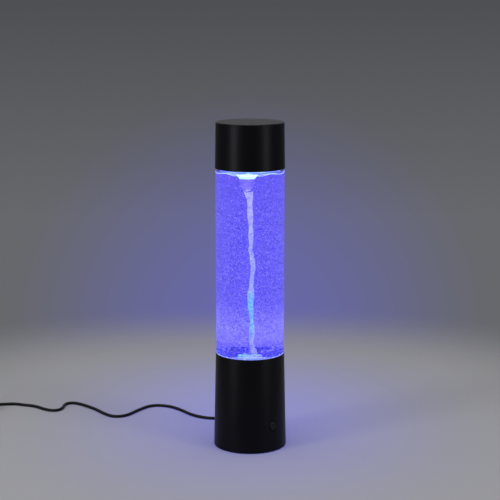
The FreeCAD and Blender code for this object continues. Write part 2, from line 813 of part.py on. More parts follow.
# Magnet carrier on the motor's shaft, with two magnets flush in its top
magnet_carrier = node("magnet_carrier")
wheel = sketch(magnet_carrier, "CarrierDisc", "XY_Plane", carrier_z)
circle(wheel, 0, 0, carrier_diameter / 2)
circle(wheel, 0, 0, shaft_diameter / 2 + part_gap)
pad(magnet_carrier, wheel, carrier_height)
round_edges(magnet_carrier, [(carrier_diameter / 2, carrier_z)], carrier_edge_radius)
magnet_seat_z = carrier_top_z - drive_magnet_thickness
magnet_seat = sketch(magnet_carrier, "CarrierSeat", "XY_Plane", magnet_seat_z)
circle(magnet_seat, drive_magnet_radius, 0, drive_magnet_diameter / 2 + part_gap)
magnet_seat_cut = pocket(magnet_carrier, magnet_seat, drive_magnet_thickness, forwards=True)
ring_of(magnet_carrier, [magnet_seat_cut], 2)
drive_magnets = node("drive_magnets")
disc_magnet = sketch(drive_magnets, "DriveMagnet", "XY_Plane", magnet_seat_z)
circle(disc_magnet, drive_magnet_radius, 0, drive_magnet_diameter / 2)
ring_of(drive_magnets, [pad(drive_magnets, disc_magnet, drive_magnet_thickness)], 2)

# Vessel: a clear extruded tube, with a moulded floor and lid glued into its ends
vessel_tube = node("vessel_tube")
tube = sketch(vessel_tube, "TubeWall", "XZ_Plane")
rectangle(tube, tube_inner, rim_z, tube_outer, tube_top_z)
revolve(vessel_tube, tube)
vessel_floor = node("vessel_floor")
floor_outer = tube_inner - glue_gap
lip_inner = floor_outer - floor_lip
lip_top_z = floor_top_z + lip_height
dish = sketch(vessel_floor, "FloorDish", "XZ_Plane")
outline(dish, [
    (0, floor_under_z),
    (skirt_outer - skirt_wall, floor_under_z),
    (skirt_outer - skirt_wall, skirt_foot_z),
    (skirt_outer, skirt_foot_z),
    (skirt_outer, rim_z),
    (floor_outer, rim_z),
    (floor_outer, lip_top_z),
    (lip_inner, lip_top_z),
    (lip_inner, floor_top_z),
    (0, floor_top_z),
])
revolve(vessel_floor, dish)
round_edges(vessel_floor, [(lip_inner, floor_top_z)], floor_fillet)
pin_seat = sketch(vessel_floor, "FloorPinSeat", "XY_Plane", floor_top_z - pin_root)
circle(pin_seat, 0, 0, pin_diameter / 2 + part_gap)
pocket(vessel_floor, pin_seat, pin_root, forwards=True)
vessel_lid = node("vessel_lid")
lid_inner = floor_outer - lid_wall
lid = sketch(vessel_lid, "LidWall", "XZ_Plane")
outline(lid, [
    (neck_bore / 2, lid_top_z - lid_wall),
    (lid_inner, lid_top_z - lid_wall),
    (lid_inner, tube_top_z - lid_insert),
    (floor_outer, tube_top_z - lid_insert),
    (floor_outer, lid_top_z),
    (neck_diameter / 2, lid_top_z),
    (neck_diameter / 2, neck_top_z),
    (neck_bore / 2, neck_top_z),
])
revolve(vessel_lid, lid)
vessel_gasket = node("vessel_gasket")
seal = sketch(vessel_gasket, "GasketRing", "XY_Plane", cup_top_z)
circle(seal, 0, 0, skirt_outer - part_gap)
circle(seal, 0, 0, skirt_outer - cup_wall)
pad(vessel_gasket, seal, gasket_thickness)

# Filler plug: a rubber bung with a pull tab, loose enough to draw out by hand
filler_plug = node("filler_plug")
bung = sketch(filler_plug, "PlugBung", "XZ_Plane")
plug_head_top_z = neck_top_z + plug_head_thickness
outline(bung, [
    (0, neck_top_z - plug_depth),
    (neck_bore / 2 - plug_clearance - plug_taper, neck_top_z - plug_depth),
    (neck_bore / 2 - plug_clearance, neck_top_z - plug_depth + plug_lead_in),
    (neck_bore / 2 - plug_clearance, neck_top_z),
    (plug_head_diameter / 2, neck_top_z),
    (plug_head_diameter / 2, plug_head_top_z),
    (0, plug_head_top_z),
])
revolve(filler_plug, bung)
round_edges(filler_plug, [(plug_head_diameter / 2, plug_head_top_z)], plug_head_radius)
tab = sketch(filler_plug, "PlugTab", "XY_Plane", plug_head_top_z)
rectangle(
    tab,
    -plug_tab_width / 2,
    -plug_tab_thickness / 2,
    plug_tab_width / 2,
    plug_tab_thickness / 2,
)
pad(filler_plug, tab, plug_tab_height)

# Water with its whirl: a funnel at the surface that runs into a thin core down to the stirrer
water_fill = node("water_fill")
film = glue_gap
stir_top_z = floor_top_z + stir_room_height
fill = sketch(water_fill, "WaterSection", "XZ_Plane")
outline(fill, [
    (stir_room_diameter / 2, floor_top_z + film),
    (lip_inner - film, floor_top_z + film),
    (lip_inner - film, lip_top_z + film),
    (tube_inner - film, lip_top_z + film),
    (tube_inner - film, water_z),
    (whirl_core, water_z),
    (whirl_core, stir_top_z),
    (stir_room_diameter / 2, stir_top_z),
])
revolve(water_fill, fill)
round_edges(water_fill, [(lip_inner - film, floor_top_z + film)], floor_fillet - film)
round_edges(water_fill, [(whirl_core, water_z)], whirl_radius - whirl_core)

# Stirrer: a vaned disc with two magnets, turning on a steel pin in the vessel's floor
stirrer_pin = node("stirrer_pin")
collar_top_z = floor_top_z + pin_collar_thickness
pin = sketch(stirrer_pin, "PinSection", "XZ_Plane")
outline(pin, [
    (0, floor_top_z - pin_root),
    (pin_diameter / 2, floor_top_z - pin_root),
    (pin_diameter / 2, floor_top_z),
    (pin_collar_diameter / 2, floor_top_z),
    (pin_collar_diameter / 2, collar_top_z),
    (pin_diameter / 2, collar_top_z),
    (pin_diameter / 2, floor_top_z + pin_height),
    (0, floor_top_z + pin_height),
])
revolve(stirrer_pin, pin)
stirrer = node("stirrer")
pin_way = pin_diameter / 2 + running_gap
stir_disc = sketch(stirrer, "StirrerDisc", "XY_Plane", collar_top_z)
circle(stir_disc, 0, 0, stirrer_diameter / 2)
circle(stir_disc, 0, 0, pin_way)
pad(stirrer, stir_disc, stirrer_disc)
stir_hub = sketch(stirrer, "StirrerHub", "XY_Plane", collar_top_z)
circle(stir_hub, 0, 0, stirrer_hub_diameter / 2)
circle(stir_hub, 0, 0, pin_way)
pad(stirrer, stir_hub, stirrer_hub_height)
vane = sketch(stirrer, "StirrerVane", "XY_Plane", collar_top_z + stirrer_disc)
rectangle(
    vane,
    (pin_way + stirrer_hub_diameter / 2) / 2,
    -vane_thickness / 2,
    stirrer_diameter / 2 - vane_thickness / 4,
    vane_thickness / 2,
)
ring_of(stirrer, [pad(stirrer, vane, vane_height)], vane_count)
stir_seat = sketch(stirrer, "StirrerSeat", "XY_Plane", collar_top_z)
circle(stir_seat, stir_magnet_radius, 0, stir_magnet_diameter / 2 + part_gap)
ring_of(stirrer, [pocket(stirrer, stir_seat, stir_magnet_thickness, forwards=True)], 2)
stirrer_magnets = node("stirrer_magnets")
stir_magnet = sketch(stirrer_magnets, "StirMagnet", "XY_Plane", collar_top_z)
circle(stir_magnet, stir_magnet_radius, 0, stir_magnet_diameter / 2)
ring_of(stirrer_magnets, [pad(stirrer_magnets, stir_magnet, stir_magnet_thickness)], 2)

# Cap: a moulded cup that drops over the lid and stands on the tube's end
top_cap = node("top_cap")
cap_rim = rim_radius + cap_step
cap_crown = cap_rim - cap_taper
hood = sketch(top_cap, "CapWall", "XZ_Plane")
outline(hood, [
    (0, top_z - cap_wall),
    (cap_crown - cap_wall, top_z - cap_wall),
    (cap_rim - cap_wall, tube_top_z),
    (cap_rim, tube_top_z),
    (cap_crown, top_z),
    (0, top_z),
])
revolve(top_cap, hood)
round_edges(top_cap, [(cap_crown, top_z)], cap_edge_radius)
cap_rib_z = tube_top_z + cap_rib_thickness
cap_rib = sketch(top_cap, "CapRib", "XY_Plane", cap_rib_z)
rectangle(
    cap_rib,
    floor_outer + cap_rib_clearance,
    -cap_rib_thickness / 2,
    cap_crown - cap_wall / 2,
    cap_rib_thickness / 2,
)
ring_of(top_cap, [pad(top_cap, cap_rib, cap_rib_height)], cap_rib_count)

# Push button: a dished cap with a flange behind the wall and a stem that bears on the switch
push_button = node("push_button")
button_section = sketch(push_button, "ButtonSection", "XY_Plane")
outline(button_section, [
    (stem_end, 0),
    (stem_end, button_stem_diameter / 2),
    (flange_back, button_stem_diameter / 2),
    (flange_back, button_flange_diameter / 2),
    (flange_face, button_flange_diameter / 2),
    (flange_face, button_diameter / 2),
    (button_face, button_diameter / 2),
    (button_face, 0),
])
revolve(push_button, button_section, "H_Axis")
round_edges(push_button, [(button_diameter / 2, button_face)], button_edge_radius, "x")
turn_to(push_button, button_angle, button_height)

# Push switch on the control board, behind the button
switch_body = node("switch_body")
case = sketch(switch_body, "SwitchCase", "YZ_Plane", board_face)
rectangle(case, -switch_side / 2, -switch_side / 2, switch_side / 2, switch_side / 2)
pad(switch_body, case, switch_depth)
plunger_room = plunger_buried + button_travel + plunger_spare
well = sketch(switch_body, "SwitchWell", "YZ_Plane", switch_face - plunger_room)
circle(well, 0, 0, plunger_diameter / 2 + running_gap)
pocket(switch_body, well, plunger_room, forwards=True)
turn_to(switch_body, button_angle, button_height)
switch_plunger = node("switch_plunger")
peg = sketch(switch_plunger, "PlungerPeg", "YZ_Plane", switch_face - plunger_buried)
circle(peg, 0, 0, plunger_diameter / 2)
pad(switch_plunger, peg, plunger_buried + plunger_proud)
turn_to(switch_plunger, button_angle, button_height)


def board_block(name, across, height, half_width, tall, deep, round_part=False):
    """A component on the board's inner face, placed by its middle across and its foot."""
    body = node(name)
    shape = sketch(body, name.title().replace("_", ""), "YZ_Plane", control_board_radius - deep)
    if round_part:
        circle(shape, across, height, half_width)
    else:
        rectangle(shape, across - half_width, height, across + half_width, height + tall)
    pad(body, shape, deep)
    turn_to(body, button_angle, 0)
    return body


control_board = node("control_board")
card = sketch(control_board, "BoardCard", "YZ_Plane", control_board_radius)
card_half = control_board_width / 2
rectangle(card, -card_half, plate_top_z, card_half, plate_top_z + control_board_height)
pad(control_board, card, board_thickness)
turn_to(control_board, button_angle, 0)
board_block(
    "control_chip", formula(0), chip_height, chip_length / 2, chip_width, chip_thickness
)
board_block(
    "capacitor",
    capacitor_offset,
    capacitor_height,
    capacitor_diameter / 2,
    None,
    capacitor_length,
    round_part=True,
)
board_block(
    "lead_connector",
    formula(0),
    connector_height,
    connector_width / 2,
    connector_length,
    connector_depth,
)
board_block(
    "inlet_block",
    -inlet_block_side,
    inlet_block_height,
    inlet_block_side / 2,
    inlet_block_side,
    inlet_block_side,
)

# Strain relief: moulded onto the cord, with a flange on each side of the wall and a tapered tail
strain_relief = node("strain_relief")
inlet_wall = shell_radius(cord_exit_height)
relief_tip = inlet_wall + relief_reach
inner_flange = wall_radius(cord_exit_height) - inlet_flange_gap
outer_flange = inlet_wall + relief_seat
relief_foot = inner_flange - inlet_flange_thickness
relief_section = sketch(strain_relief, "ReliefSection", "XY_Plane")
outline(relief_section, [
    (relief_foot, 0),
    (relief_foot, inlet_flange_diameter / 2),
    (inner_flange, inlet_flange_diameter / 2),
    (inner_flange, inlet_hole_diameter / 2 - part_gap),
    (outer_flange, inlet_hole_diameter / 2 - part_gap),
    (outer_flange, inlet_flange_diameter / 2),
    (outer_flange + inlet_flange_thickness, inlet_flange_diameter / 2),
    (outer_flange + inlet_flange_thickness, relief_root_diameter / 2),
    (relief_tip, relief_tip_diameter / 2),
    (relief_tip, 0),
])
revolve(strain_relief, relief_section, "H_Axis")
turn_to(strain_relief, 90, cord_exit_height)


def bend_path(points, share=0.45):
    """Straight runs joined by tangent arcs, as a wire, with the radius of each arc."""
    points = [FreeCAD.Vector(*point) for point in points]
    edges, radii, here = [], [], points[0]
    for before, corner, after in zip(points, points[1:], points[2:]):
        into, out = corner - before, after - corner
        reach = share * min(into.Length, out.Length)
        turn = into.getAngle(out)
        radii.append(reach / math.tan(turn / 2))
        into.normalize()
        out.normalize()
        start, end = corner - into * reach, corner + out * reach
        middle = out - into
        middle.normalize()
        gap = radii[-1] / math.cos(turn / 2) - radii[-1]
        edges.append(Part.LineSegment(here, start).toShape())
        edges.append(Part.Arc(start, corner + middle * gap, end).toShape())
        here = end
    edges.append(Part.LineSegment(here, points[-1]).toShape())
    return Part.Wire(edges), radii


def tube_along(points, diameter):
    """A round tube along a bent path, checked against its section times its length."""
    path, radii = bend_path(points)
    start = FreeCAD.Vector(*points[0])
    profile = Part.Wire(
        Part.Circle(start, FreeCAD.Vector(*points[1]) - start, float(diameter) / 2).toShape()
    )
    solid = path.makePipeShell([profile], True, False)
    expected = math.pi * (float(diameter) / 2) ** 2 * path.Length
    if abs(solid.Volume / expected - 1) > 0.01:
        raise RuntimeError("a tube's volume differs from its section times its length")
    return solid, radii, path.Length


def laid(name, shape):
    """A sub-part whose shape is set whole, such as a cord."""
    feature = doc.addObject("Part::Feature", name)
    feature.Label = name
    feature.Shape = shape
    nodes.append(feature)
    return feature


def board_spot(radial, across, height):
    """A point of the control board's own frame, on the lamp's."""
    angle = math.radians(float(button_angle))
    radial, across = float(radial), float(across)
    return (
        radial * math.cos(angle) - across * math.sin(angle),
        radial * math.sin(angle) + across * math.cos(angle),
        float(height),
    )


# Inner lead: the cord's own end, from the strain relief to the block on the board
block_mid_z = inlet_block_height + inlet_block_side / 2
block_face = control_board_radius - inlet_block_side
lead_in = 11
inner_lead, inner_radii, _ = tube_along(
    [
        (0, float(relief_foot), float(cord_exit_height)),
        (0, float(relief_foot) - lead_in, float(cord_exit_height)),
        (-3, 8, float(cord_exit_height + block_mid_z) / 2),
        board_spot(block_face - lead_in, -inlet_block_side, block_mid_z),
        board_spot(block_face, -inlet_block_side, block_mid_z),
    ],
    cord_diameter,
)
laid("inner_lead", inner_lead)


def leads(name, steps, foot, head, shares):
    """A row of thin leads, each from foot to head: shares give a bend's share of the way
    inwards and of the way up."""
    foot_radial, foot_z = foot
    head_radial, head_z = head
    wires = []
    for step in steps:
        points = [
            board_spot(
                foot_radial + (head_radial - foot_radial) * inwards,
                lead_pitch * step,
                foot_z + (head_z - foot_z) * upwards,
            )
            for inwards, upwards in shares
        ]
        wires.append(tube_along(points, lead_diameter)[0])
    return laid(name, Part.makeCompound(wires))


# Thin leads from the board's connector: four up to the ring of lights, two to the motor
lead_foot = (lead_hole_radius, connector_height + connector_length)
leads(
    "light_leads",
    (-1.5, -0.5, 0.5, 1.5),
    lead_foot,
    (lead_hole_radius + lead_diameter, led_board_z),
    ((0, 0), (0, 0.2), (-1, 0.5), (1, 0.8), (1, 1)),
)
leads(
    "motor_leads",
    (-2.5, 2.5),
    lead_foot,
    (motor_screw_radius, motor_foot_z),
    ((0, 0), (0, 0.2), (0.45, 0.5), (1, 0.75), (1, 1)),
)

# Free cord: down from the strain relief, then in loose waves over the table to the coil
table = float(cord_diameter) / 2
coil_entry = (-316.5, 143.0)
cord_route = [
    (0, float(relief_tip), float(cord_exit_height)),
    (0, 64.5, float(cord_exit_height)),
    (-2, 75.5, 5.2),
    (-9, 84.5, table),
    (-22, 87.5, table),
    (-38, 86, table),
    (-54, 89, table),
    (-70, 101, table),
    (-82, 120, table),
    (-98, 137, table),
    (-119, 141, table),
    (-134, 121, table),
    (-146, 97, table),
    (-162, 93, table),
    (-175, 109, table),
    (-187, 127, table),
    (-199, 143, table),
    (-208.5, 151.5, table),
    (-219.5, 150.5, table),
    (-226, 141, table),
    (-228, 129.5, table),
    (-233, 118.5, table),
    (-243, 113.5, table),
    (-253.5, 118, table),
    (-258.5, 129, table),
    (-265, 140, table),
    (-277, 146, table),
    (-291, 146, table),
    (-304, 143, table),
    (*coil_entry, table),
]
cord_solid, cord_radii, cord_length = tube_along(cord_route, cord_diameter)
laid("power_cord", cord_solid)

# Put-away coil: one closed ring of the coil's outer shape, with a short stub for each end
coil_outer_turn = float(coil_inner_turn + coil_pitch * (coil_rings - 1))
coil_centre = FreeCAD.Vector(
    coil_entry[0] - float(coil_stub), coil_entry[1] - coil_outer_turn, 0
)
coil_height = float(cord_diameter + coil_pitch * (coil_layers - 1))
up = FreeCAD.Vector(0, 0, 1)
coil = Part.makeCylinder(coil_outer_turn + table, coil_height, coil_centre, up)
coil = coil.cut(
    Part.makeCylinder(float(coil_inner_turn) - table, coil_height, coil_centre, up)
)
entry_stub = Part.makeCylinder(
    table,
    float(coil_stub),
    coil_centre + FreeCAD.Vector(0, coil_outer_turn, table),
    FreeCAD.Vector(1, 0, 0),
)
exit_stub = Part.makeCylinder(
    table,
    float(coil_stub),
    coil_centre + FreeCAD.Vector(-coil_outer_turn, 0, coil_height - table),
    FreeCAD.Vector(0, -1, 0),
)
laid("cord_coil", coil.fuse([entry_stub, exit_stub]).removeSplitter())

# Tail of the cord, from the top of the coil down to the plug
plug_middle = float(grip_thickness) / 2
tail_x = coil_centre.x - coil_outer_turn
tail_high = coil_height - table
tail_start = exit_stub.BoundBox.YMin
tail_end = tail_start - float(tail_reach)
tail_solid, tail_radii, tail_length = tube_along(
    [
        (tail_x, tail_start, tail_high),
        (tail_x, tail_start - 8, tail_high),
        (tail_x, (tail_start + tail_end) / 2, (tail_high + plug_middle) / 2 + 0.2),
        (tail_x, tail_end + 8, plug_middle),
        (tail_x, tail_end, plug_middle),
    ],
    cord_diameter,
)
laid("plug_lead", tail_solid)

# Plug: a moulded grip with a short tail, a folded steel shell and a plastic tongue
plug_grip = node("plug_grip")
grip_end = grip_tail_length + grip_length
tail_section = sketch(plug_grip, "GripTail", "XY_Plane")
outline(tail_section, [
    (0, 0),
    (0, grip_tail_tip / 2),
    (grip_tail_length, grip_tail_diameter / 2),
    (grip_tail_length + grip_radius, grip_tail_diameter / 2),
    (grip_tail_length + grip_radius, 0),
])
revolve(plug_grip, tail_section, "H_Axis")
grip_face = sketch(plug_grip, "GripFace", "YZ_Plane", grip_tail_length)
grip_half, grip_rise = grip_width / 2, grip_thickness / 2
outline(grip_face, [
    (-grip_half + grip_radius, -grip_rise),
    (grip_half - grip_radius, -grip_rise),
    (grip_half, -grip_rise + grip_radius),
    (grip_half, grip_rise - grip_radius),
    (grip_half - grip_radius, grip_rise),
    (-grip_half + grip_radius, grip_rise),
    (-grip_half, grip_rise - grip_radius),
    (-grip_half, -grip_rise + grip_radius),
])
pad(plug_grip, grip_face, grip_length)
plug_shell = node("plug_shell")
shell_face = sketch(plug_shell, "ShellFace", "YZ_Plane", grip_end)
shell_half, shell_rise = shell_width / 2, shell_thickness / 2
rectangle(shell_face, -shell_half, -shell_rise, shell_half, shell_rise)
rectangle(
    shell_face,
    shell_metal - shell_half,
    shell_metal - shell_rise,
    shell_half - shell_metal,
    shell_rise - shell_metal,
)
pad(plug_shell, shell_face, shell_length)
plug_tongue = node("plug_tongue")
tongue_face = sketch(plug_tongue, "TongueFace", "YZ_Plane", grip_end)
rectangle(
    tongue_face,
    shell_metal + part_gap - shell_half,
    shell_rise - shell_metal - part_gap - tongue_thickness,
    shell_half - shell_metal - part_gap,
    shell_rise - shell_metal - part_gap,
)
pad(plug_tongue, tongue_face, shell_length - shell_metal)
for piece in (plug_grip, plug_shell, plug_tongue):
    piece.Placement = FreeCAD.Placement(
        FreeCAD.Vector(tail_x, tail_end, plug_middle),
        FreeCAD.Rotation(up, -90),
    )

doc.recompute()
for part in doc.Objects:
    if {"Invalid", "Error"} & set(part.State):
        raise RuntimeError(f"{part.Label} failed: {part.State}")
for part in nodes:
    if part.Shape.isNull() or not part.Shape.isValid() or not part.Shape.Solids:
        raise RuntimeError(f"{part.Label} has no valid shape")

os.makedirs("parts", exist_ok=True)
for part in nodes:
    part.Shape.exportStep(f"parts/{part.Label}.step")

coil_turns = 7.25
coil_length = coil_turns * math.pi * (float(coil_inner_turn) + coil_outer_turn)
print("sub-parts", len(nodes))
print("inner lead radii", [round(radius, 1) for radius in inner_radii])
print("cord radii", [round(radius, 1) for radius in cord_radii])
print("tail radii", [round(radius, 1) for radius in tail_radii])
print("cord on the table", round(cord_length), "coil", round(coil_length))
print("tail", round(tail_length))
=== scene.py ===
"""Looks of a table lamp with a whirl of water: black base and cap, a clear vessel lit from below."""

import math
import random

import bpy
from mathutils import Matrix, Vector


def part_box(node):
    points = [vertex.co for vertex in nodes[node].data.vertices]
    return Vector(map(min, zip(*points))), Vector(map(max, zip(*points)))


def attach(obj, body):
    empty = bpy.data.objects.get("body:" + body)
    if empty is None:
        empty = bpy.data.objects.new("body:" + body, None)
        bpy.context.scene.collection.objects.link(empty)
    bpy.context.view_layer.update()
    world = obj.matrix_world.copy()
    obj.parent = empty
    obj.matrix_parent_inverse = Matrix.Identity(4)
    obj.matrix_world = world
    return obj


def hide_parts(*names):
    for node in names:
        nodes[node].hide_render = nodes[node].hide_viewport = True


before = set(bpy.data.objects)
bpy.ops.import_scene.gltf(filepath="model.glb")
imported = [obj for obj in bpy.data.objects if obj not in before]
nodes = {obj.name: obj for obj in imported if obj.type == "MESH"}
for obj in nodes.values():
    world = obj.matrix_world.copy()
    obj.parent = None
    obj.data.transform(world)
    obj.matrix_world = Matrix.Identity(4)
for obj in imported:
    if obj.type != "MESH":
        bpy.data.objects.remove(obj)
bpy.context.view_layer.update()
mm = 0.001

# Base shell and cap: two injection moulded tubes of black ABS, one under the vessel and one over it.
# Their mould was spark eroded, so the skin is a fine satin grain that keeps highlights wide and dim.
# The shell carries everything inside it; the cap is a loose push fit over the vessel's lid.


def linear(colour):
    """A colour written as sRGB hex, as the linear RGBA that a shader takes."""
    channels = [int(colour[i : i + 2], 16) / 255 for i in (0, 2, 4)]
    bent = [c / 12.92 if c <= 0.04045 else ((c + 0.055) / 1.055) ** 2.4 for c in channels]
    return (*bent, 1.0)


def add(tree, kind, inputs=None, **settings):
    """Adds one node with its settings. An input is a value or another node's output."""
    made = tree.nodes.new("ShaderNode" + kind)
    for name, value in settings.items():
        setattr(made, name, value)
    for name, value in (inputs or {}).items():
        if isinstance(value, bpy.types.NodeSocket):
            tree.links.new(value, made.inputs[name])
        else:
            made.inputs[name].default_value = value
    return made


def finish(name, **inputs):
    """A new material with plain inputs set: it, its node tree, its shader, the place on the piece."""
    material = bpy.data.materials.new(name)
    material.use_nodes = True
    tree = material.node_tree
    shader = tree.nodes["Principled BSDF"]
    for socket, value in inputs.items():
        shader.inputs[socket.replace("_", " ")].default_value = value
    place = add(tree, "TexCoord").outputs["Object"]
    return material, tree, shader, place


def grain(tree, shader, place, size, depth, rough):
    """Moulded or cast skin: a bump with bumps of a size, and roughness that wavers with it."""
    noise = add(tree, "TexNoise", {"Vector": place, "Scale": 1 / size, "Detail": 3})
    bump = add(tree, "Bump", {"Height": noise.outputs["Fac"], "Distance": depth, "Strength": 1})
    tree.links.new(bump.outputs["Normal"], shader.inputs["Normal"])
    spread = add(tree, "MapRange", {"Value": noise.outputs["Fac"], "To Min": rough[0], "To Max": rough[1]})
    tree.links.new(spread.outputs["Result"], shader.inputs["Roughness"])
    return noise


def tinted(tree, shader, factor, dark, light, low=0.3, high=0.7):
    """Base colour that runs from one colour to another as a factor goes from low to high."""
    ramp = add(tree, "ValToRGB", {"Fac": factor})
    for element, at, colour in zip(ramp.color_ramp.elements, (low, high), (dark, light)):
        element.position = at
        element.color = linear(colour)
    tree.links.new(ramp.outputs["Color"], shader.inputs["Base Color"])


def wear(material, *names):
    """Gives the material to solid nodes of the lamp."""
    for name in names:
        for slot in nodes[name].material_slots:
            slot.material = material


# The eroded grain is about 0.1 mm; it is drawn at 0.6 mm so that it shows
black_abs, tree, shader, place = finish("black ABS, spark eroded", IOR=1.46, Specular_IOR_Level=0.12)
skin = grain(tree, shader, place, 0.6 * mm, 0.012 * mm, (0.34, 0.42))
tinted(tree, shader, skin.outputs["Fac"], "030306", "07070b")
wear(black_abs, "base_shell", "top_cap")

# Base plate: moulded ABS disc that closes the base from below, with rails for the control board.
# Plain matt tool finish, a little greyer than the outside.
plate_abs, tree, shader, place = finish("black ABS, matt", IOR=1.46, Specular_IOR_Level=0.35)
skin = grain(tree, shader, place, 0.9 * mm, 0.03 * mm, (0.5, 0.65))
tinted(tree, shader, skin.outputs["Fac"], "18181a", "1f1f22")
wear(plate_abs, "base_plate")

# Feet: four discs of silicone rubber, moulded and pressed into the plate. The rubber is dull, and
# a little dusty where it touches the table.
foot_rubber, tree, shader, place = finish("silicone rubber", IOR=1.41, Specular_IOR_Level=0.3)
skin = grain(tree, shader, place, 0.5 * mm, 0.03 * mm, (0.7, 0.85))
tinted(tree, shader, skin.outputs["Fac"], "2a2a2a", "38383a")
wear(foot_rubber, "rubber_feet")

# Screws: pan heads of turned steel, plated with bright zinc, for the plate, the deck, the light board
# and the motor. The plating is a little uneven, so the heads glint in fine patches.
screw_zinc, tree, shader, place = finish("zinc plated steel", Metallic=1.0)
skin = grain(tree, shader, place, 0.25 * mm, 0.004 * mm, (0.22, 0.38))
tinted(tree, shader, skin.outputs["Fac"], "b9bcc0", "d6d8da")
wear(screw_zinc, "plate_screws", "deck_screws", "led_board_screws", "motor_screws")

# Light deck and reflector: a cup on the shell's columns and a wall about the lights, both of white
# ABS, moulded smooth to a satin white that throws the light upwards.
white_abs, tree, shader, place = finish("white ABS, satin", IOR=1.46)
skin = grain(tree, shader, place, 1.2 * mm, 0.015 * mm, (0.3, 0.42))
tinted(tree, shader, skin.outputs["Fac"], "dedfdd", "e9eae8")
wear(white_abs, "light_deck", "light_reflector")

# Ring of lights: a glass fibre board under white solder mask, with copper tracks that stand out
# of it a little as rings, and twelve diodes in white cases with clear domes that shine blue violet.
white_mask, tree, shader, place = finish("white solder mask on glass fibre", IOR=1.5, Roughness=0.28)
across = add(tree, "VectorMath", {0: place, 1: (1, 1, 0)}, operation="MULTIPLY")
radius = add(tree, "VectorMath", {0: across.outputs["Vector"]}, operation="LENGTH")
track_pitch = 1.6 * mm
rings = add(tree, "Math", {0: radius.outputs["Value"], 1: track_pitch}, operation="PINGPONG")
track = add(tree, "MapRange", {
    "Value": rings.outputs["Value"], "From Min": track_pitch * 0.35, "From Max": track_pitch * 0.45,
})
bump = add(tree, "Bump", {"Height": track.outputs["Result"], "Distance": 0.035 * mm, "Strength": 1})
tree.links.new(bump.outputs["Normal"], shader.inputs["Normal"])
tinted(tree, shader, track.outputs["Result"], "e2e4e2", "d2d8d0", 0.0, 1.0)
wear(white_mask, "led_board")

# The case stays white; only the dome, the top 0.2 mm or so, is bright
diode, tree, shader, place = finish(
    "white diode case with a lit clear dome", IOR=1.5, Roughness=0.3, Emission_Strength=2.5
)
diode_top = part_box("leds")[1][2]
height = add(tree, "SeparateXYZ", {"Vector": place}).outputs["Z"]
dome = add(tree, "MapRange", {
    "Value": height, "From Min": diode_top - 0.35 * mm, "From Max": diode_top - 0.2 * mm,
})
tinted(tree, shader, dome.outputs["Result"], "e6e6e2", "f2f2ff", 0.0, 1.0)
glow = add(tree, "ValToRGB", {"Fac": dome.outputs["Result"]})
glow.color_ramp.elements[0].color = (0.05, 0.05, 0.3, 1)
glow.color_ramp.elements[1].color = (0.35, 0.4, 1.0, 1)
tree.links.new(glow.outputs["Color"], shader.inputs["Emission Color"])
wear(diode, "leds")

# Motor: a drawn steel can, closed by a nylon end bell that holds the brushes, with a ferrite ring in
# which a stack of laminations turns on a ground steel shaft. Drawing leaves fine streaks along the can.
drawn_steel, tree, shader, place = finish("drawn steel", Metallic=1.0)
draw = add(tree, "Mapping", {"Vector": place, "Scale": (1, 1, 0.05)})
skin = grain(tree, shader, draw.outputs["Vector"], 0.3 * mm, 0.01 * mm, (0.25, 0.42))
tinted(tree, shader, skin.outputs["Fac"], "a3a5a8", "bcbec0")
wear(drawn_steel, "motor_can")

# Natural nylon is a warm white, and light goes a little way into it
nylon, tree, shader, place = finish(
    "natural nylon, moulded", IOR=1.53, Subsurface_Weight=0.15, Subsurface_Scale=1 * mm
)
skin = grain(tree, shader, place, 1.0 * mm, 0.02 * mm, (0.4, 0.55))
tinted(tree, shader, skin.outputs["Fac"], "cfcbbd", "dcd9cf")
wear(nylon, "motor_end_bell", "magnet_carrier", "lead_connector", "inlet_block", "switch_plunger")

# Ferrite is pressed and fired like a ceramic, a dull charcoal
ferrite, tree, shader, place = finish("sintered ferrite", IOR=2.2)
skin = grain(tree, shader, place, 0.35 * mm, 0.05 * mm, (0.55, 0.75))
tinted(tree, shader, skin.outputs["Fac"], "37373a", "4b4b4f")
wear(ferrite, "motor_magnet")

# The seams between the punched sheets show as fine dark lines
laminated, tree, shader, place = finish("stacked laminations", Metallic=1.0, Roughness=0.4)
sheet_thickness = 0.5 * mm
height = add(tree, "SeparateXYZ", {"Vector": place}).outputs["Z"]
seam = add(tree, "Math", {0: height, 1: sheet_thickness / 2}, operation="PINGPONG")
edge = add(tree, "MapRange", {"Value": seam.outputs["Value"], "From Max": sheet_thickness * 0.1})
bump = add(tree, "Bump", {"Height": edge.outputs["Result"], "Distance": 0.05 * mm, "Strength": 1})
tree.links.new(bump.outputs["Normal"], shader.inputs["Normal"])
tinted(tree, shader, edge.outputs["Result"], "4a4642", "93908a", 0.0, 1.0)
wear(laminated, "motor_rotor")

# Grinding leaves hair lines round the shaft, so its highlight is a clean bright streak
ground_steel, tree, shader, place = finish("ground steel", Metallic=1.0)
turn = add(tree, "Mapping", {"Vector": place, "Scale": (0.1, 0.1, 1)})
skin = grain(tree, shader, turn.outputs["Vector"], 0.15 * mm, 0.003 * mm, (0.15, 0.28))
tinted(tree, shader, skin.outputs["Fac"], "c9cbcd", "dddfe0")
wear(ground_steel, "motor_shaft", "stirrer_pin")

# The magnets' plating is warm, smooth and nearly a mirror
nickel, tree, shader, place = finish("nickel plating", Metallic=1.0)
skin = grain(tree, shader, place, 0.8 * mm, 0.004 * mm, (0.1, 0.2))
tinted(tree, shader, skin.outputs["Fac"], "c4bfb4", "d8d4ca")
wear(nickel, "drive_magnets", "stirrer_magnets")

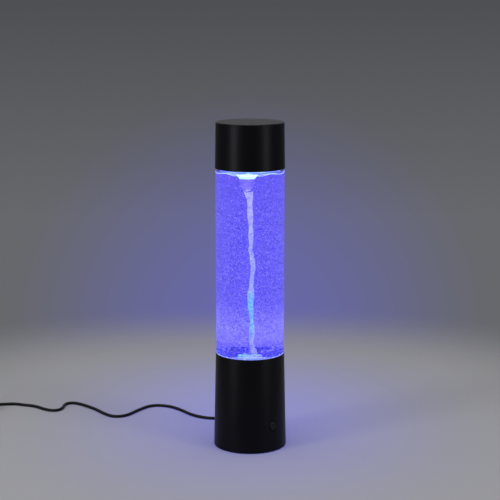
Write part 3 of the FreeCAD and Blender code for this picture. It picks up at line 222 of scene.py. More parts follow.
# Control board: glass fibre with copper tracks under green solder mask, slid into the plate's rails.
# The tracks run at right angles and show as a paler green that stands up a little.
green_mask, tree, shader, place = finish("green solder mask on glass fibre", IOR=1.5, Roughness=0.25)
cells = add(
    tree, "TexVoronoi", {"Vector": place, "Scale": 1 / (2.6 * mm)},
    distance="CHEBYCHEV", feature="DISTANCE_TO_EDGE",
)
bare = add(tree, "MapRange", {"Value": cells.outputs["Distance"], "From Min": 0.06, "From Max": 0.1})
bump = add(tree, "Bump", {"Height": bare.outputs["Result"], "Distance": -0.035 * mm, "Strength": 1})
tree.links.new(bump.outputs["Normal"], shader.inputs["Normal"])
tinted(tree, shader, bare.outputs["Result"], "3d8a52", "145b30", 0.0, 1.0)
wear(green_mask, "control_board")

# The chip and the switch are moulded of filled epoxy, dull and black
epoxy, tree, shader, place = finish("moulded epoxy", IOR=1.55)
skin = grain(tree, shader, place, 0.2 * mm, 0.015 * mm, (0.5, 0.65))
tinted(tree, shader, skin.outputs["Fac"], "1d1d1f", "262628")
wear(epoxy, "control_chip", "switch_body")

# The capacitor's sleeve has shrunk tight and smooth, blue with a soft shine
sleeve, tree, shader, place = finish("shrunk sleeve on an aluminium can", IOR=1.5)
skin = grain(tree, shader, place, 1.5 * mm, 0.02 * mm, (0.25, 0.35))
tinted(tree, shader, skin.outputs["Fac"], "15254f", "1b2f62")
wear(sleeve, "capacitor")

# The leads to the lights and the motor have a smooth skin of red PVC, half matt
lead_pvc, tree, shader, place = finish("red PVC", IOR=1.53, Specular_IOR_Level=0.4)
skin = grain(tree, shader, place, 0.8 * mm, 0.02 * mm, (0.4, 0.5))
tinted(tree, shader, skin.outputs["Fac"], "8f1812", "a82018")
wear(lead_pvc, "light_leads", "motor_leads")

# Push button: black ABS, moulded smoother than the shell, so its glint is a little sharper. It slides
# in a round hole of the shell, with a dark gap about it.
button_abs, tree, shader, place = finish("black ABS, smooth", IOR=1.46, Specular_IOR_Level=0.25)
skin = grain(tree, shader, place, 0.8 * mm, 0.006 * mm, (0.26, 0.34))
tinted(tree, shader, skin.outputs["Fac"], "050508", "09090d")
wear(button_abs, "push_button")

# Vessel: an extruded acrylic tube, polished, with a moulded floor and lid glued into its ends.
# Acrylic has an IOR of 1.49 and bends the light of the water so that it fills the whole width.
# Its mirror image, and that on the wet faces inside it, is dimmed by a grey specular tint: painted shade
# that stands for dark surroundings.
mirror_dimmed_by_painted_shade = (0.08, 0.08, 0.1, 1)
acrylic, tree, shader, place = finish(
    "clear acrylic, extruded",
    IOR=1.49,
    Transmission_Weight=1.0,
    Roughness=0.0,
    Specular_Tint=mirror_dimmed_by_painted_shade,
    Base_Color=linear("e7e4fe"),
    Emission_Strength=1.0,
)
pull = add(tree, "Mapping", {"Vector": place, "Scale": (1, 1, 0.08)})
waver = add(tree, "TexNoise", {"Vector": pull.outputs["Vector"], "Scale": 1 / (9 * mm), "Detail": 1})
bump = add(tree, "Bump", {"Height": waver.outputs["Fac"], "Distance": 0.02 * mm, "Strength": 1})
tree.links.new(bump.outputs["Normal"], shader.inputs["Normal"])
# A painted glow stands for the light that runs up inside the wall and leaves it at its foot, and a little
# all the way. At the front the lit foot is higher: a painted reflection of the diodes in the stirrer
front_near, front_far, front_rise = -30 * mm, -36 * mm, 2.2 * mm
foot_full, foot_end = 0.8 * mm, 1.6 * mm
split = add(tree, "SeparateXYZ", {"Vector": place})
painted_reflection_rise = add(tree, "MapRange", {
    "Value": split.outputs["Y"], "From Min": front_near, "From Max": front_far, "To Max": front_rise,
})
height = add(
    tree, "Math", {0: split.outputs["Z"], 1: painted_reflection_rise.outputs["Result"]}, operation="SUBTRACT"
)
tube_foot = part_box("vessel_tube")[0][2]
foot = add(tree, "MapRange", {
    "Value": height.outputs["Value"], "From Min": tube_foot + foot_end, "From Max": tube_foot + foot_full,
})
glow = add(tree, "ValToRGB", {"Fac": foot.outputs["Result"]})
glow.color_ramp.elements[0].color = (0.004, 0.003, 0.04, 1)
glow.color_ramp.elements[1].color = (0.12, 0.15, 0.4, 1)
tree.links.new(glow.outputs["Color"], shader.inputs["Emission Color"])
wear(acrylic, "vessel_tube")

# The lid wasn't polished, so it is a little cloudy
moulded_clear, tree, shader, place = finish(
    "clear acrylic, moulded",
    IOR=1.49,
    Transmission_Weight=1.0,
    Roughness=0.08,
    Base_Color=linear("e9ecff"),
)
waver = add(tree, "TexNoise", {"Vector": place, "Scale": 1 / (5 * mm), "Detail": 2})
bump = add(tree, "Bump", {"Height": waver.outputs["Fac"], "Distance": 0.05 * mm, "Strength": 1})
tree.links.new(bump.outputs["Normal"], shader.inputs["Normal"])
wear(moulded_clear, "vessel_lid")

# Vessel floor: a clear acrylic moulding, polished, a dish that the diodes shine into from below. Its
# thin lip stands up inside the tube and is glued to it.
floor_clear, tree, shader, place = finish(
    "clear acrylic, moulded and polished",
    IOR=1.49,
    Transmission_Weight=1.0,
    Roughness=0.02,
    Base_Color=linear("f3f3ff"),
    Specular_Tint=mirror_dimmed_by_painted_shade,
)
wear(floor_clear, "vessel_floor")

# Gasket and bung: moulded silicone, dull as it always is. The gasket is a black ring under the
# vessel's skirt, and the grey bung is pressed into the neck of the lid.
seal_rubber, tree, shader, place = finish("black silicone", IOR=1.41, Specular_IOR_Level=0.35)
skin = grain(tree, shader, place, 0.6 * mm, 0.02 * mm, (0.6, 0.7))
tinted(tree, shader, skin.outputs["Fac"], "242426", "2d2d30")
wear(seal_rubber, "vessel_gasket")

bung_rubber, tree, shader, place = finish("grey silicone", IOR=1.41, Specular_IOR_Level=0.35)
skin = grain(tree, shader, place, 0.7 * mm, 0.03 * mm, (0.5, 0.62))
tinted(tree, shader, skin.outputs["Fac"], "8d8d90", "9c9c9f")
wear(bung_rubber, "filler_plug")

# Water: fills the tube to just under the lid, with a funnel that the whirl draws down. Fine glitter
# and bubbles scatter the diodes' light, so the whole body glows violet blue and takes up other light.
# Its skin reaches a little way into the wall, so no air shows between them.


def turned(name, profile, around, wave):
    """A mesh turned from a profile of (radius, height); wave lifts a point by radius and angle."""
    points, faces = [], []
    for radius, height in profile:
        for step in range(around):
            angle = math.tau * step / around
            lift = wave(radius, angle, height)
            points.append((radius * math.cos(angle), radius * math.sin(angle), height + lift))
    for ring in range(len(profile) - 1):
        for step in range(around):
            here, there = ring * around + step, ring * around + (step + 1) % around
            faces.append((here, there, there + around, here + around))
    faces.append(tuple(reversed(range(around))))
    faces.append(tuple(range(len(points) - around, len(points))))
    return new_piece(name, points, faces)


def new_piece(name, points, faces):
    """A new smooth object from points and faces, in the scene."""
    mesh = bpy.data.meshes.new(name)
    mesh.from_pydata(points, [], faces)
    mesh.validate()
    mesh.shade_smooth()
    mesh.set_sharp_from_angle(angle=math.radians(40))
    piece = bpy.data.objects.new(name, mesh)
    bpy.context.scene.collection.objects.link(piece)
    return piece


tube_low, tube_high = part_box("vessel_tube")
tube_wall = 2.5 * mm
bore = tube_high[0] - tube_wall
water_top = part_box("water_fill")[1][2]
pin_seat = 1.8 * mm
dish_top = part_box("stirrer_pin")[0][2] + pin_seat
dish_radius = 18 * mm
lip_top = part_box("vessel_floor")[1][2]
lip_wall = 1 * mm
lip_bore = bore - lip_wall
into_wall = 0.1 * mm
fillet = 1 * mm
settled_top = 107 * mm
floor_curve = [
    (
        lip_bore + into_wall - fillet + fillet * math.sin(math.radians(a)),
        dish_top - into_wall + fillet - fillet * math.cos(math.radians(a)),
    )
    for a in range(0, 91, 15)
]
water_profile = [(0.5 * mm, dish_top - into_wall), (dish_radius, dish_top - into_wall)] + floor_curve
water_profile += [
    (lip_bore + into_wall, settled_top),
    (lip_bore + into_wall, lip_top + into_wall),
    (bore + into_wall, lip_top + into_wall),
]
wall_steps = 40
wall_low = lip_top + into_wall
water_profile += [
    (bore + into_wall, wall_low + (water_top - wall_low) * i / wall_steps) for i in range(1, wall_steps)
]
# The funnel's radius and height at each point, in mm, from the water's level down
funnel = [
    (13, 0), (11, -0.9), (8.6, -4), (6.6, -7.5), (6.0, -11),
    (5.4, -15), (4.6, -18.5), (2.6, -21), (0.4, -22),
]
funnel_edge = 13 * mm
surface_steps = 26
water_profile += [
    (bore + into_wall - (bore + into_wall - funnel_edge) * i / surface_steps, water_top)
    for i in range(surface_steps)
]
water_profile += [(r * mm, water_top + z * mm) for r, z in funnel]

# The whirl's waves: how many arms, twist in radians a metre, where they start, and how strong
wave_sets = ((3, 380, 0, 1), (5, -620, 1.3, 0.6))
wave_height, wave_fade = 0.22 * mm, 6 * mm


def ripple(radius, angle, height):
    """Waves that the whirl sends round the surface, dying out at the wall and down the funnel."""
    if height < water_top - 0.1 * mm or radius > bore:
        return 0
    swirl = sum(
        strength * math.sin(arms * angle + twist * radius + start)
        for arms, twist, start, strength in wave_sets
    )
    return wave_height * swirl * min(1, (bore - radius) / wave_fade)


water = turned("lit_water", water_profile, 144, ripple)
# The funnel stands a little to the left of the axis
lean, lean_radius, lean_ease, lean_depth = 2.4 * mm, 14 * mm, 4 * mm, 23 * mm
for vertex in water.data.vertices:
    reach = math.hypot(vertex.co.x, vertex.co.y)
    if vertex.co.z > water_top - lean_depth and reach < lean_radius:
        vertex.co.x -= lean * min(1, (lean_radius - reach) / lean_ease)
water_look, tree, shader, place = finish(
    "water with lit glitter",
    IOR=1.33,
    Transmission_Weight=1.0,
    Roughness=0.0,
    Base_Color=linear("fafaff"),
    Specular_Tint=mirror_dimmed_by_painted_shade,
    Emission_Strength=1.0,
)
split = add(tree, "SeparateXYZ", {"Vector": place})
height = split.outputs["Z"]
angle = add(tree, "Math", {0: split.outputs["Y"], 1: split.outputs["X"]}, operation="ARCTAN2")
across = add(tree, "VectorMath", {0: place, 1: (1, 1, 0)}, operation="MULTIPLY")
radius = add(tree, "VectorMath", {0: across.outputs["Vector"]}, operation="LENGTH").outputs["Value"]
# Strokes of glitter are 0.3 mm fine; they are drawn 2.4 mm long so that they show
strokes = add(tree, "TexNoise", {
    "Vector": place, "Scale": 1 / (2.4 * mm), "Detail": 1, "Roughness": 0.5, "Distortion": 2.0,
})
clouds = add(tree, "TexNoise", {"Vector": place, "Scale": 1 / (14 * mm), "Detail": 2, "Distortion": 0.8})
# Just above the floor, from 118 to 168 mm up, the diodes light the glitter most
ramp_reach = 400 * mm
up = add(tree, "Math", {0: height, 1: 1 / ramp_reach}, operation="MULTIPLY")
low_glow = add(tree, "ValToRGB", {"Fac": up.outputs["Value"]})
steps = low_glow.color_ramp.elements
steps[0].position, steps[0].color = 0.295, (0, 0, 0, 1)
steps[1].position, steps[1].color = 0.42, (0, 0, 0, 1)
for at, value in ((0.32, 0.75), (0.36, 0.6)):
    steps.new(at).color = (value, value, value, 1)
low_cloud = add(
    tree, "Math", {0: low_glow.outputs["Color"], 1: clouds.outputs["Fac"]}, operation="MULTIPLY"
)
grainy = add(tree, "MapRange", {
    "Value": strokes.outputs["Fac"], "From Min": 0.34, "From Max": 0.66, "To Min": -0.5, "To Max": 0.5,
})
# Near the top the strokes are fainter
calm_from, calm_to = 250 * mm, 300 * mm
calm = add(tree, "MapRange", {
    "Value": height, "From Min": calm_from, "From Max": calm_to, "To Min": 0.75, "To Max": 0.35,
})
plain_level = 0.35
level = add(tree, "Math", {0: grainy.outputs["Result"], 1: calm.outputs["Result"]}, operation="MULTIPLY")
level = add(tree, "Math", {0: level.outputs["Value"], 1: low_cloud.outputs["Value"]}, operation="ADD")
level = add(tree, "Math", {0: level.outputs["Value"], 1: plain_level}, operation="ADD")
body_glow = add(tree, "ValToRGB", {"Fac": level.outputs["Value"]})
steps = body_glow.color_ramp.elements
steps[0].position, steps[0].color = 0.0, (0.03, 0.022, 0.24, 1)
steps[1].position, steps[1].color = plain_level, (0.062, 0.05, 0.32, 1)
for at, colour in ((0.62, (0.11, 0.105, 0.37, 1)), (1.0, (0.2, 0.2, 0.46, 1))):
    steps.new(at).color = colour
# The surface and the funnel carry a painted reflection of the diodes' light and are the brightest: cyan
# white in the middle, cyan, then pale violet
outwards = add(tree, "Math", {0: radius, 1: 1 / bore}, operation="MULTIPLY")
painted_top_reflection = add(tree, "ValToRGB", {"Fac": outwards.outputs["Value"]})
steps = painted_top_reflection.color_ramp.elements
steps[0].position, steps[0].color = 0.15, (1.05, 2.3, 1.1, 1)
steps[1].position, steps[1].color = 0.36, (0.62, 1.4, 1.0, 1)
for at, colour in ((0.6, (0.26, 0.6, 0.75, 1)), (1.0, (0.18, 0.27, 0.68, 1))):
    steps.new(at).color = colour
near_top = add(tree, "MapRange", {
    "Value": height, "From Min": water_top - 8.4 * mm, "From Max": water_top - 7.4 * mm,
})
inward = add(tree, "MapRange", {"Value": radius, "From Min": bore - 0.3 * mm, "From Max": bore - 1 * mm})
at_top = add(
    tree, "Math", {0: near_top.outputs["Result"], 1: inward.outputs["Result"]}, operation="MULTIPLY"
)
# A Mix node has its colours on these sockets, which share their names with its other kinds
colour_a, colour_b, colour_out = 6, 7, 2
shown = add(tree, "Mix", {
    "Factor": at_top.outputs["Value"],
    colour_a: body_glow.outputs["Color"],
    colour_b: painted_top_reflection.outputs["Color"],
}, data_type="RGBA")
# Where the waves meet the wall, painted highlights: thin bright lines that cross each other just under the
# surface
crest_swing, crest_level = 0.8 * mm, water_top - 1.0 * mm
painted_crest_lines = []
for waves, phase in ((5, 0.4), (8, 2.1)):
    swing = add(tree, "Math", {0: angle.outputs["Value"], 1: waves, 2: phase}, operation="MULTIPLY_ADD")
    swing = add(tree, "Math", {0: swing.outputs["Value"]}, operation="SINE")
    crest = add(
        tree, "Math", {0: swing.outputs["Value"], 1: crest_swing, 2: crest_level},
        operation="MULTIPLY_ADD",
    )
    away = add(tree, "Math", {0: height, 1: crest.outputs["Value"]}, operation="SUBTRACT")
    away = add(tree, "Math", {0: away.outputs["Value"]}, operation="ABSOLUTE")
    painted_crest_lines.append(add(tree, "MapRange", {
        "Value": away.outputs["Value"], "From Min": 0.4 * mm, "From Max": 0.2 * mm,
    }))
either = add(
    tree, "Math", {0: painted_crest_lines[0].outputs["Result"], 1: painted_crest_lines[1].outputs["Result"]}, operation="MAXIMUM"
)
with_painted_crest_lines = add(tree, "Mix", {
    "Factor": either.outputs["Value"],
    colour_a: shown.outputs[colour_out],
    colour_b: (0.55, 0.85, 1.0, 1),
}, data_type="RGBA")
tree.links.new(with_painted_crest_lines.outputs[colour_out], shader.inputs["Emission Color"])
absorb = add(tree, "VolumeAbsorption", {"Color": (0.12, 0.0, 0.93, 1), "Density": 12})
tree.links.new(absorb.outputs["Volume"], tree.nodes["Material Output"].inputs["Volume"])
water.data.materials.append(water_look)
# Glitter that has settled on the vessel's floor and against its foot: deep blue, with a painted glow of
# the diodes' light on it in blue and pale dots
settled, tree, shader, place = finish(
    "settled glitter on the vessel's floor",
    IOR=1.33,
    Roughness=0.5,
    Base_Color=linear("10108a"),
    Specular_IOR_Level=0.1,
    Emission_Strength=1.0,
)
speck = add(tree, "TexNoise", {"Vector": place, "Scale": 1 / (2.3 * mm), "Detail": 1, "Roughness": 0.7})
glow = add(tree, "ValToRGB", {"Fac": speck.outputs["Fac"]})
steps = glow.color_ramp.elements
steps[0].position, steps[0].color = 0.4, (0.0, 0.0, 0.0, 1)
steps[1].position, steps[1].color = 0.48, (0.01, 0.025, 0.55, 1)
for at, colour in ((0.6, (0.06, 0.08, 0.7, 1)), (0.68, (0.6, 0.65, 1.1, 1))):
    steps.new(at).color = colour
tree.links.new(glow.outputs["Color"], shader.inputs["Emission Color"])
water.data.materials.append(settled)
for polygon in water.data.polygons:
    polygon.material_index = int(polygon.center.z < settled_top)
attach(water, "root")
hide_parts("water_fill")

# Glue: a clear film of acrylic cement, run into the joint between the tube and the floor's lip. It
# leaves no air there, so the joint doesn't show.
glue_low = tube_low[2] + 0.1 * mm
glue_out, glue_in = bore + 0.05 * mm, bore - 0.15 * mm
glue_section = ((glue_in, glue_low), (glue_out, glue_low), (glue_out, lip_top), (glue_in, lip_top))
around = 96
points = [
    (radius * math.cos(math.tau * i / around), radius * math.sin(math.tau * i / around), height)
    for radius, height in glue_section
    for i in range(around)
]
faces = [
    (ring * around + i, ring * around + (i + 1) % around,
     (ring + 1) % 4 * around + (i + 1) % around, (ring + 1) % 4 * around + i)
    for ring in range(4)
    for i in range(around)
]
glue = new_piece("floor_glue", points, faces)
glue.data.materials.append(floor_clear)
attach(glue, "root")

# Rope of the whirl: the thin core of air and bubbles that the stirrer draws down the middle. It wanders
# a little, ties itself in a small loop, and shines pale lavender, cyan lower down. Heights, offsets
# and half widths are the photograph's, as real sizes in mm with the bend of the water taken out.
rope_course = [
    # height, offset to the right, offset to the back, radius
    (284.5, -1.2, 0.0, 3.8),
    (281, -0.7, 0.2, 3.2),
    (277, -0.2, 0.4, 2.75),
    (268, 0.0, 0.5, 2.6),
    (257, 0.3, 0.0, 2.35),
    (246, 0.7, -0.5, 2.1),
    (236, 0.8, 0.0, 2.1),
    (227, 0.8, 0.6, 2.0),
    (222, 0.2, 0.2, 1.8),
    (216, 1.4, 0.0, 1.7),
    (208, 2.2, -0.8, 2.6),
    (202, 2.6, 0.4, 2.4),
    (194, 1.8, 0.9, 1.6),
    (183, 1.15, 0.0, 2.2),
    (171, 0.6, -0.5, 3.0),
    (160, 0.4, 0.2, 3.0),
    (149, 1.0, 0.6, 1.7),
    (143, 1.4, 0.3, 1.6),
    (138, 1.6, -0.3, 2.5),
    (127, 1.4, 0.0, 2.2),
    (118, 1.0, 0.4, 1.9),
    (113.5, 1.9, 0.0, 2.2),
    (109, 3.2, 0.0, 2.5),
    (105.8, 3.6, 0.0, 2.6),
]


def along(course, height):
    """The course's values at a height, eased between its rows."""
    for (above, *high), (below, *low) in zip(course, course[1:]):
        if height >= below:
            share = (above - height) / (above - below)
            share = share * share * (3 - 2 * share)
            return [a + (b - a) * share for a, b in zip(high, low)]
    return course[-1][1:]


def strand(name, course, lobe, turn_height, phase, ring=20, step=0.8):
    """A twisting strand that follows the course: two lobes that turn once in a given height."""
    points, faces = [], []
    high, low = course[0][0], course[-1][0]
    count = int((high - low) / step)
    for i in range(count + 1):
        height = high - (high - low) * i / count
        right, back, radius = along(course, height)
        turn = phase + math.tau * height / turn_height
        for j in range(ring):
            a = math.tau * j / ring
            swell = radius * (1 - lobe + lobe * math.cos(2 * (a - turn)))
            # The top end is a little higher at its left and right than at its front and back
            crown = 1.2 * math.cos(2 * a) if i == 0 else 0
            points.append((
                (right + swell * math.cos(a)) * mm,
                (back + swell * math.sin(a)) * mm,
                (height + crown) * mm,
            ))
    for i in range(count):
        for j in range(ring):
            here, there = i * ring + j, i * ring + (j + 1) % ring
            faces.append((here, here + ring, there + ring, there))
    faces.append(tuple(range(ring)))
    faces.append(tuple(reversed(range(count * ring, (count + 1) * ring))))
    return new_piece(name, points, faces)


rope = strand("whirl_rope", rope_course, lobe=0.13, turn_height=44, phase=0.6)
rope_look, tree, shader, place = finish(
    "air and bubbles in lit water",
    Roughness=0.5,
    IOR=1.33,
    Base_Color=linear("8080c0"),
    Emission_Strength=1.0,
)
glow_low, glow_high = 112 * mm, 288 * mm
split = add(tree, "SeparateXYZ", {"Vector": place})
fall = add(tree, "MapRange", {"Value": split.outputs["Z"], "From Min": glow_low, "From Max": glow_high})
rope_glow = add(tree, "ValToRGB", {"Fac": fall.outputs["Result"]})
steps = rope_glow.color_ramp.elements
steps[0].position, steps[0].color = 0.0, (0.28, 0.34, 0.45, 1)
steps[1].position, steps[1].color = 1.0, (0.62, 0.72, 0.6, 1)
for at, colour in (
    (0.06, (0.24, 0.36, 0.45, 1)),
    (0.11, (0.06, 0.66, 0.6, 1)),
    (0.31, (0.15, 0.86, 0.62, 1)),
    (0.38, (0.46, 0.66, 0.6, 1)),
    (0.75, (0.62, 0.72, 0.6, 1)),
):
    steps.new(at).color = colour
flicker = add(tree, "TexNoise", {"Vector": place, "Scale": 1 / (3 * mm), "Detail": 2})
spread = add(tree, "MapRange", {
    "Value": flicker.outputs["Fac"], "From Min": 0.3, "From Max": 0.7, "To Min": 0.7, "To Max": 1.25,
})
# Painted light on the glow: cyan on its left, and on its right a pale painted highlight on the foam
side = add(tree, "MapRange", {
    "Value": split.outputs["X"], "From Min": 1 * mm, "From Max": 3 * mm, "To Max": 0.7,
})
painted_side_glow = add(tree, "Mix", {
    "Factor": side.outputs["Result"],
    colour_a: rope_glow.outputs["Color"],
    colour_b: (0.42, 0.58, 0.62, 1),
}, data_type="RGBA")
lit = add(tree, "VectorMath", {
    0: painted_side_glow.outputs[colour_out], "Scale": spread.outputs["Result"],
}, operation="SCALE")
tree.links.new(lit.outputs["Vector"], shader.inputs["Emission Color"])
rope.data.materials.append(rope_look)
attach(rope, "root")

# Glitter and bubbles: thousands of specks that the whirl carries round. Each is a short curved sliver
# that lies along its own path, pale, bright or dark as it catches the light.
speck_count = 3600
funnel_radius, funnel_reach = 8 * mm, 24 * mm
chance = random.Random(12)
points, faces, tones = [], [], []
for _ in range(speck_count):
    radius = (lip_bore - 0.6 * mm) * math.sqrt(chance.uniform(0.02, 1))
    height = chance.uniform(dish_top + 2 * mm, water_top - 3 * mm)
    if radius < funnel_radius and height > water_top - funnel_reach:
        continue
    start = chance.uniform(0, math.tau)
    reach = chance.uniform(0.5, 1.7) * mm
    rise = reach * chance.gauss(0, 0.55)
    half = chance.uniform(0.13, 0.26) * mm
    bow = chance.gauss(0, 0.25) * mm
    first = len(points)
    for i in range(4):
        share = i / 3
        a = start + reach * share / radius
        middle = height + rise * share + bow * math.sin(math.pi * share)
        taper = half * (0.35 + 0.65 * math.sin(math.pi * (0.15 + 0.7 * share)))
        for side in (-1, 1):
            points.append((radius * math.cos(a), radius * math.sin(a), middle + side * taper))
    tone = chance.choices((0, 1, 2), (5, 2, 4))[0]
    for i in range(3):
        at = first + 2 * i
        faces.append((at, at + 2, at + 3, at + 1))
        tones.append(tone)
specks = new_piece("glitter_specks", points, faces)
for name, cover, colour in (
    ("glitter, pale", "8480ff", (0.22, 0.2, 0.7, 1)),
    ("glitter, bright", "d0d0ff", (0.45, 0.45, 0.95, 1)),
    ("glitter, dark", "08082c", (0.0, 0.0, 0.05, 1)),
):
    material, tree, shader, place = finish(
        name, Roughness=0.4, Base_Color=linear(cover), Emission_Color=colour, Emission_Strength=1.0
    )
    specks.data.materials.append(material)
for polygon, tone in zip(specks.data.polygons, tones):
    polygon.material_index = tone
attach(specks, "root")

# Stirrer: a disc of white polypropylene with low vanes, moulded, which turns on a steel pin. The light
# that comes up round it makes it bright in patches, cyan on the left and pale blue on the right.
stirrer_look, tree, shader, place = finish(
    "white polypropylene, lit", IOR=1.49, Emission_Strength=0.9
)
skin = grain(tree, shader, place, 1.0 * mm, 0.02 * mm, (0.35, 0.45))
tinted(tree, shader, skin.outputs["Fac"], "d8dcf0", "e6e9f8")
side = add(tree, "SeparateXYZ", {"Vector": place}).outputs["X"]
shift = add(tree, "MapRange", {"Value": side, "From Min": -11 * mm, "From Max": 11 * mm})
glow = add(tree, "ValToRGB", {"Fac": shift.outputs["Result"]})
glow.color_ramp.elements[0].color = (0.18, 0.8, 0.7, 1)
glow.color_ramp.elements[1].color = (0.4, 0.55, 0.7, 1)
twinkle = add(tree, "TexNoise", {"Vector": place, "Scale": 1 / (3 * mm), "Detail": 2})
spread = add(tree, "MapRange", {
    "Value": twinkle.outputs["Fac"], "From Min": 0.35, "From Max": 0.65, "To Min": 0.45, "To Max": 1.5,
})
lit = add(tree, "VectorMath", {
    0: glow.outputs["Color"], "Scale": spread.outputs["Result"],
}, operation="SCALE")
tree.links.new(lit.outputs["Vector"], shader.inputs["Emission Color"])
wear(stirrer_look, "stirrer")

# Cord: a thin black lead of soft PVC, moulded into its strain relief. It leaves at the back, lies in
# loose waves to the left, and what the photograph doesn't show is wound up beside it, with its plug.
cord_pvc, tree, shader, place = finish("soft black PVC", IOR=1.53, Specular_IOR_Level=0.15)
skin = grain(tree, shader, place, 0.7 * mm, 0.015 * mm, (0.42, 0.55))
tinted(tree, shader, skin.outputs["Fac"], "08080a", "0e0e10")
wear(cord_pvc, "strain_relief", "inner_lead")

# Points are in mm; on the table, the cord's middle is half its thickness up
cord_diameter = 3.5 * mm
table = cord_diameter / 2 / mm
cord_route = [
    (0, 54.894, 10),
    (0, 64.5, 10),
    (-2, 75.5, 5.2),
    (-9, 84.5, table),
    (-22, 87.5, table),
    (-38, 86, table),
    (-54, 89, table),
    (-70, 101, table),
    (-82, 120, table),
    (-98, 137, table),
    (-119, 141, table),
    (-134, 121, table),
    (-146, 97, table),
    (-162, 93, table),
    (-174, 106, table),
    (-186, 124, table),
    (-199, 138, table),
    (-208, 146, table),
    (-216, 150.5, table),
    (-223.5, 147.5, table),
    (-226, 139, table),
    (-226, 129.5, table),
    (-229, 120.5, table),
    (-237, 117.5, table),
    (-247, 123, table),
    (-255.5, 132, table),
    (-265, 138.5, table),
    (-275, 141, table),
    (-285, 146, table),
    (-297, 145, table),
    (-306, 143, table),
    (-316.5, 143, table),
]
coil_middle = (-329.0, 121.95)
coil_pitch = 3.65
coil_rings = (21.05, 17.4)
# Each turn lies in the next place: outer, inner, then up a layer and back out
coil_places = [(0, 0), (1, 0), (1, 1), (0, 1), (0, 2), (1, 2), (1, 3), (0, 3)]
# The degrees of each turn at which it starts to cross to the next place, and how long that takes
crossing_starts = (300, 300, 240, 240, 180, 180, 120)
crossing = 60
coil_step = 15
coil_sweep = 7 * 360 + 90
for swept in range(0, coil_sweep + 1, coil_step):
    turn, past = divmod(swept, 360)
    ring, layer = coil_places[turn]
    out, up = coil_rings[ring], layer * coil_pitch
    if turn < len(crossing_starts) and past > crossing_starts[turn]:
        next_ring, next_layer = coil_places[turn + 1]
        eased = math.radians(90 * min(1, (past - crossing_starts[turn]) / crossing))
        out += (coil_rings[next_ring] - out) * (1 - math.cos(eased))
        up += (next_layer - layer) * coil_pitch * math.sin(eased)
    angle = math.radians(90 + swept)
    cord_route.append((
        coil_middle[0] + out * math.cos(angle), coil_middle[1] + out * math.sin(angle), table + up,
    ))
tail_x = coil_middle[0] - coil_rings[0]
tail_high = table + 3 * coil_pitch
plug_height = 4
cord_route += [
    (tail_x, 109.45, tail_high),
    (tail_x, 101.45, tail_high),
    (tail_x, 92.45, 8.55),
    (tail_x, 83.45, plug_height),
    (tail_x, 75.45, plug_height),
]
line = bpy.data.curves.new("cord", "CURVE")
line.dimensions = "3D"
line.bevel_depth = cord_diameter / 2
line.bevel_resolution = 5
line.resolution_u = 8
line.use_fill_caps = True
spline = line.splines.new("NURBS")
spline.points.add(len(cord_route) - 1)
for point, (x, y, z) in zip(spline.points, cord_route):
    point.co = (x * mm, y * mm, z * mm, 1)
spline.order_u = 3
spline.use_endpoint_u = True
cord = bpy.data.objects.new("cord", line)
bpy.context.scene.collection.objects.link(cord)
cord.data.materials.append(cord_pvc)
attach(cord, "root")
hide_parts("power_cord", "cord_coil", "plug_lead")

# Plug: a soft black grip of PVC, moulded over the lead and half matt, a folded steel shell plated
# like the screws, and a smooth white nylon tongue in it.
grip_pvc, tree, shader, place = finish("black PVC, moulded", IOR=1.53, Specular_IOR_Level=0.35)
skin = grain(tree, shader, place, 0.6 * mm, 0.02 * mm, (0.42, 0.55))
tinted(tree, shader, skin.outputs["Fac"], "161618", "1e1e21")
wear(grip_pvc, "plug_grip")
tongue_white, tree, shader, place = finish("white nylon", IOR=1.53)
skin = grain(tree, shader, place, 0.5 * mm, 0.01 * mm, (0.35, 0.45))
tinted(tree, shader, skin.outputs["Fac"], "dcdee2", "e8eaec")
wear(tongue_white, "plug_tongue")
wear(screw_zinc, "plug_shell")

# Studio: a plain floor of grey paper that fades into a plain grey backdrop, two tall soft boxes to the
# sides and a wide one above. The backdrop shows to the eye, in gloss and through the glass.
floor_look, tree, shader, place = finish(
    "grey paper", Roughness=0.9, Specular_IOR_Level=0.1, Base_Color=linear("98989a")
)
fade_near, fade_far = 0.38, 0.7
reach = add(tree, "VectorMath", {0: place}, operation="LENGTH")
fade = add(
    tree, "MapRange", {"Value": reach.outputs["Value"], "From Min": fade_near, "From Max": fade_far},
    interpolation_type="SMOOTHSTEP",
)
clear = add(tree, "BsdfTransparent")
blend = add(tree, "MixShader", {
    0: fade.outputs["Result"], 1: shader.outputs["BSDF"], 2: clear.outputs["BSDF"],
})
tree.links.new(blend.outputs["Shader"], tree.nodes["Material Output"].inputs["Surface"])
floor_half = 2.5
ground = new_piece(
    "floor",
    [(x * floor_half, y * floor_half, 0) for x, y in ((-1, -1), (1, -1), (1, 1), (-1, 1))],
    [(0, 1, 2, 3)],
)
ground.data.materials.append(floor_look)

world = bpy.data.worlds.new("studio")
world.use_nodes = True
bpy.context.scene.world = world
tree = world.node_tree
sky = tree.nodes["Background"]
sky.inputs["Color"].default_value = linear("f4f4f8")
sky.inputs["Strength"].default_value = 0.32
heading = add(tree, "TexCoord").outputs["Generated"]
# Above the picture the backdrop gets paler, which is what the cap's top reflects
aloft = add(tree, "SeparateXYZ", {"Vector": heading})
rise = add(tree, "MapRange", {"Value": aloft.outputs["Z"], "From Min": -0.2, "From Max": 0.2})
upwards = add(tree, "ValToRGB", {"Fac": rise.outputs["Result"]})
steps = upwards.color_ramp.elements
steps[0].position, steps[0].color = 0.1, linear("67686b")
steps[1].position, steps[1].color = 0.9, linear("b0b0b6")
steps.new(0.47).color = linear("4e4f52")
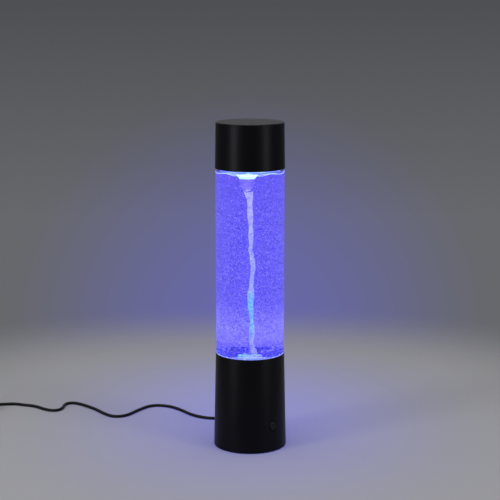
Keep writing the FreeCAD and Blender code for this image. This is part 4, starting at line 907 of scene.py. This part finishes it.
# Low behind the lamp a painted round violet glow on the backdrop stands for the vessel's light
painted_glow_heading = (0, 0.971, -0.238)
painted_glow_reach = 0.182
off_glow = add(tree, "VectorMath", {0: heading, 1: painted_glow_heading}, operation="DISTANCE")
glow = add(
    tree, "MapRange", {"Value": off_glow.outputs["Value"], "From Min": painted_glow_reach, "From Max": 0},
    interpolation_type="SMOOTHSTEP",
)
violet = add(tree, "Mix", {
    "Factor": glow.outputs["Result"],
    colour_a: upwards.outputs["Color"],
    colour_b: (0.0, 0.0, 0.25, 1),
}, data_type="RGBA", blend_type="ADD")
backdrop = add(tree, "Background", {"Color": violet.outputs[colour_out], "Strength": 1})
ray = add(tree, "LightPath")
seen = add(
    tree, "Math", {0: ray.outputs["Is Camera Ray"], 1: ray.outputs["Is Glossy Ray"]}, operation="ADD"
)
seen = add(
    tree, "Math", {0: seen.outputs["Value"], 1: ray.outputs["Is Transmission Ray"]},
    operation="ADD", use_clamp=True,
)
mixed = add(tree, "MixShader", {
    0: seen.outputs["Value"], 1: sky.outputs["Background"], 2: backdrop.outputs["Background"],
})
tree.links.new(mixed.outputs["Shader"], tree.nodes["World Output"].inputs["Surface"])

# The soft boxes leave the wet vessel out, so that no stripe of theirs lies on it
all_but_vessel = bpy.data.collections.new("takes the soft boxes' light")
for left_out in (nodes["vessel_tube"], nodes["vessel_floor"], water, glue, rope, specks):
    all_but_vessel.objects.link(left_out)
for entry in all_but_vessel.collection_objects:
    entry.light_linking.link_state = "EXCLUDE"
lamp_middle = Vector((0, 0, 0.18))


def soft_box(name, azimuth, distance, height, size, power):
    """An area light that looks at the lamp's middle. Azimuth 0 is behind the camera."""
    light = bpy.data.lights.new(name, "AREA")
    light.shape = "RECTANGLE"
    light.size, light.size_y = size
    light.energy = power
    box = bpy.data.objects.new(name, light)
    turn = math.radians(azimuth)
    box.location = (distance * math.sin(turn), -distance * math.cos(turn), height)
    aim = lamp_middle - box.location
    box.rotation_euler = aim.to_track_quat("-Z", "Y").to_euler()
    # Seen from behind, the vessel would show the soft boxes through its water
    box.visible_transmission = False
    box.light_linking.receiver_collection = all_but_vessel
    bpy.context.scene.collection.objects.link(box)


side_box = {"distance": 1.3, "height": 0.5, "size": (0.28, 1.3)}
soft_box("soft box left", azimuth=-54, power=7.6, **side_box)
soft_box("soft box right", azimuth=54, power=5.2, **side_box)
soft_box("soft box above", azimuth=10, power=26, distance=0.3, height=2.0, size=(2.2, 2.2))

# The vessel's own light on the table, straight down round its foot and thrown back from behind it.
# It leaves the wall all the way round, so the base throws no shadow in it, and only the floor takes it
table_only = bpy.data.collections.new("lit by the vessel")
table_only.objects.link(ground)
in_the_way = bpy.data.collections.new("in the way of the vessel's light")
in_the_way.objects.link(nodes["top_cap"])
spill_colour = (0.05, 0.04, 1.0)
spill_cone = math.radians(96)
spill_height, spill_radius = 0.3, 0.035
for name, back, power in (("light from the vessel", 0.0, 2.1), ("light thrown back", 0.19, 2.3)):
    spill = bpy.data.lights.new(name, "SPOT")
    spill.color = spill_colour
    spill.energy = power
    spill.spot_size = spill_cone
    spill.spot_blend = 1
    spill.shadow_soft_size = spill_radius
    spill_lamp = bpy.data.objects.new(name, spill)
    spill_lamp.location = (0, back, spill_height)
    bpy.context.scene.collection.objects.link(spill_lamp)
    spill_lamp.light_linking.receiver_collection = table_only
    spill_lamp.light_linking.blocker_collection = in_the_way

# Camera: at the photograph's viewing angle, about a metre and a half off and looking a little down.
# Its place and lens were fitted to the lamp's outline there, so that the lamp fills the frame alike.
look_down = math.radians(90 - 10.61)
view = bpy.data.cameras.new("camera")
view.sensor_width = 36
view.lens = 103.6
view.clip_end = 30
camera = bpy.data.objects.new("camera", view)
camera.location = (0, -1.544, 0.509)
camera.rotation_euler = (look_down, 0, 0)
bpy.context.scene.collection.objects.link(camera)
bpy.context.scene.camera = camera
bpy.context.scene.view_settings.view_transform = "Standard"
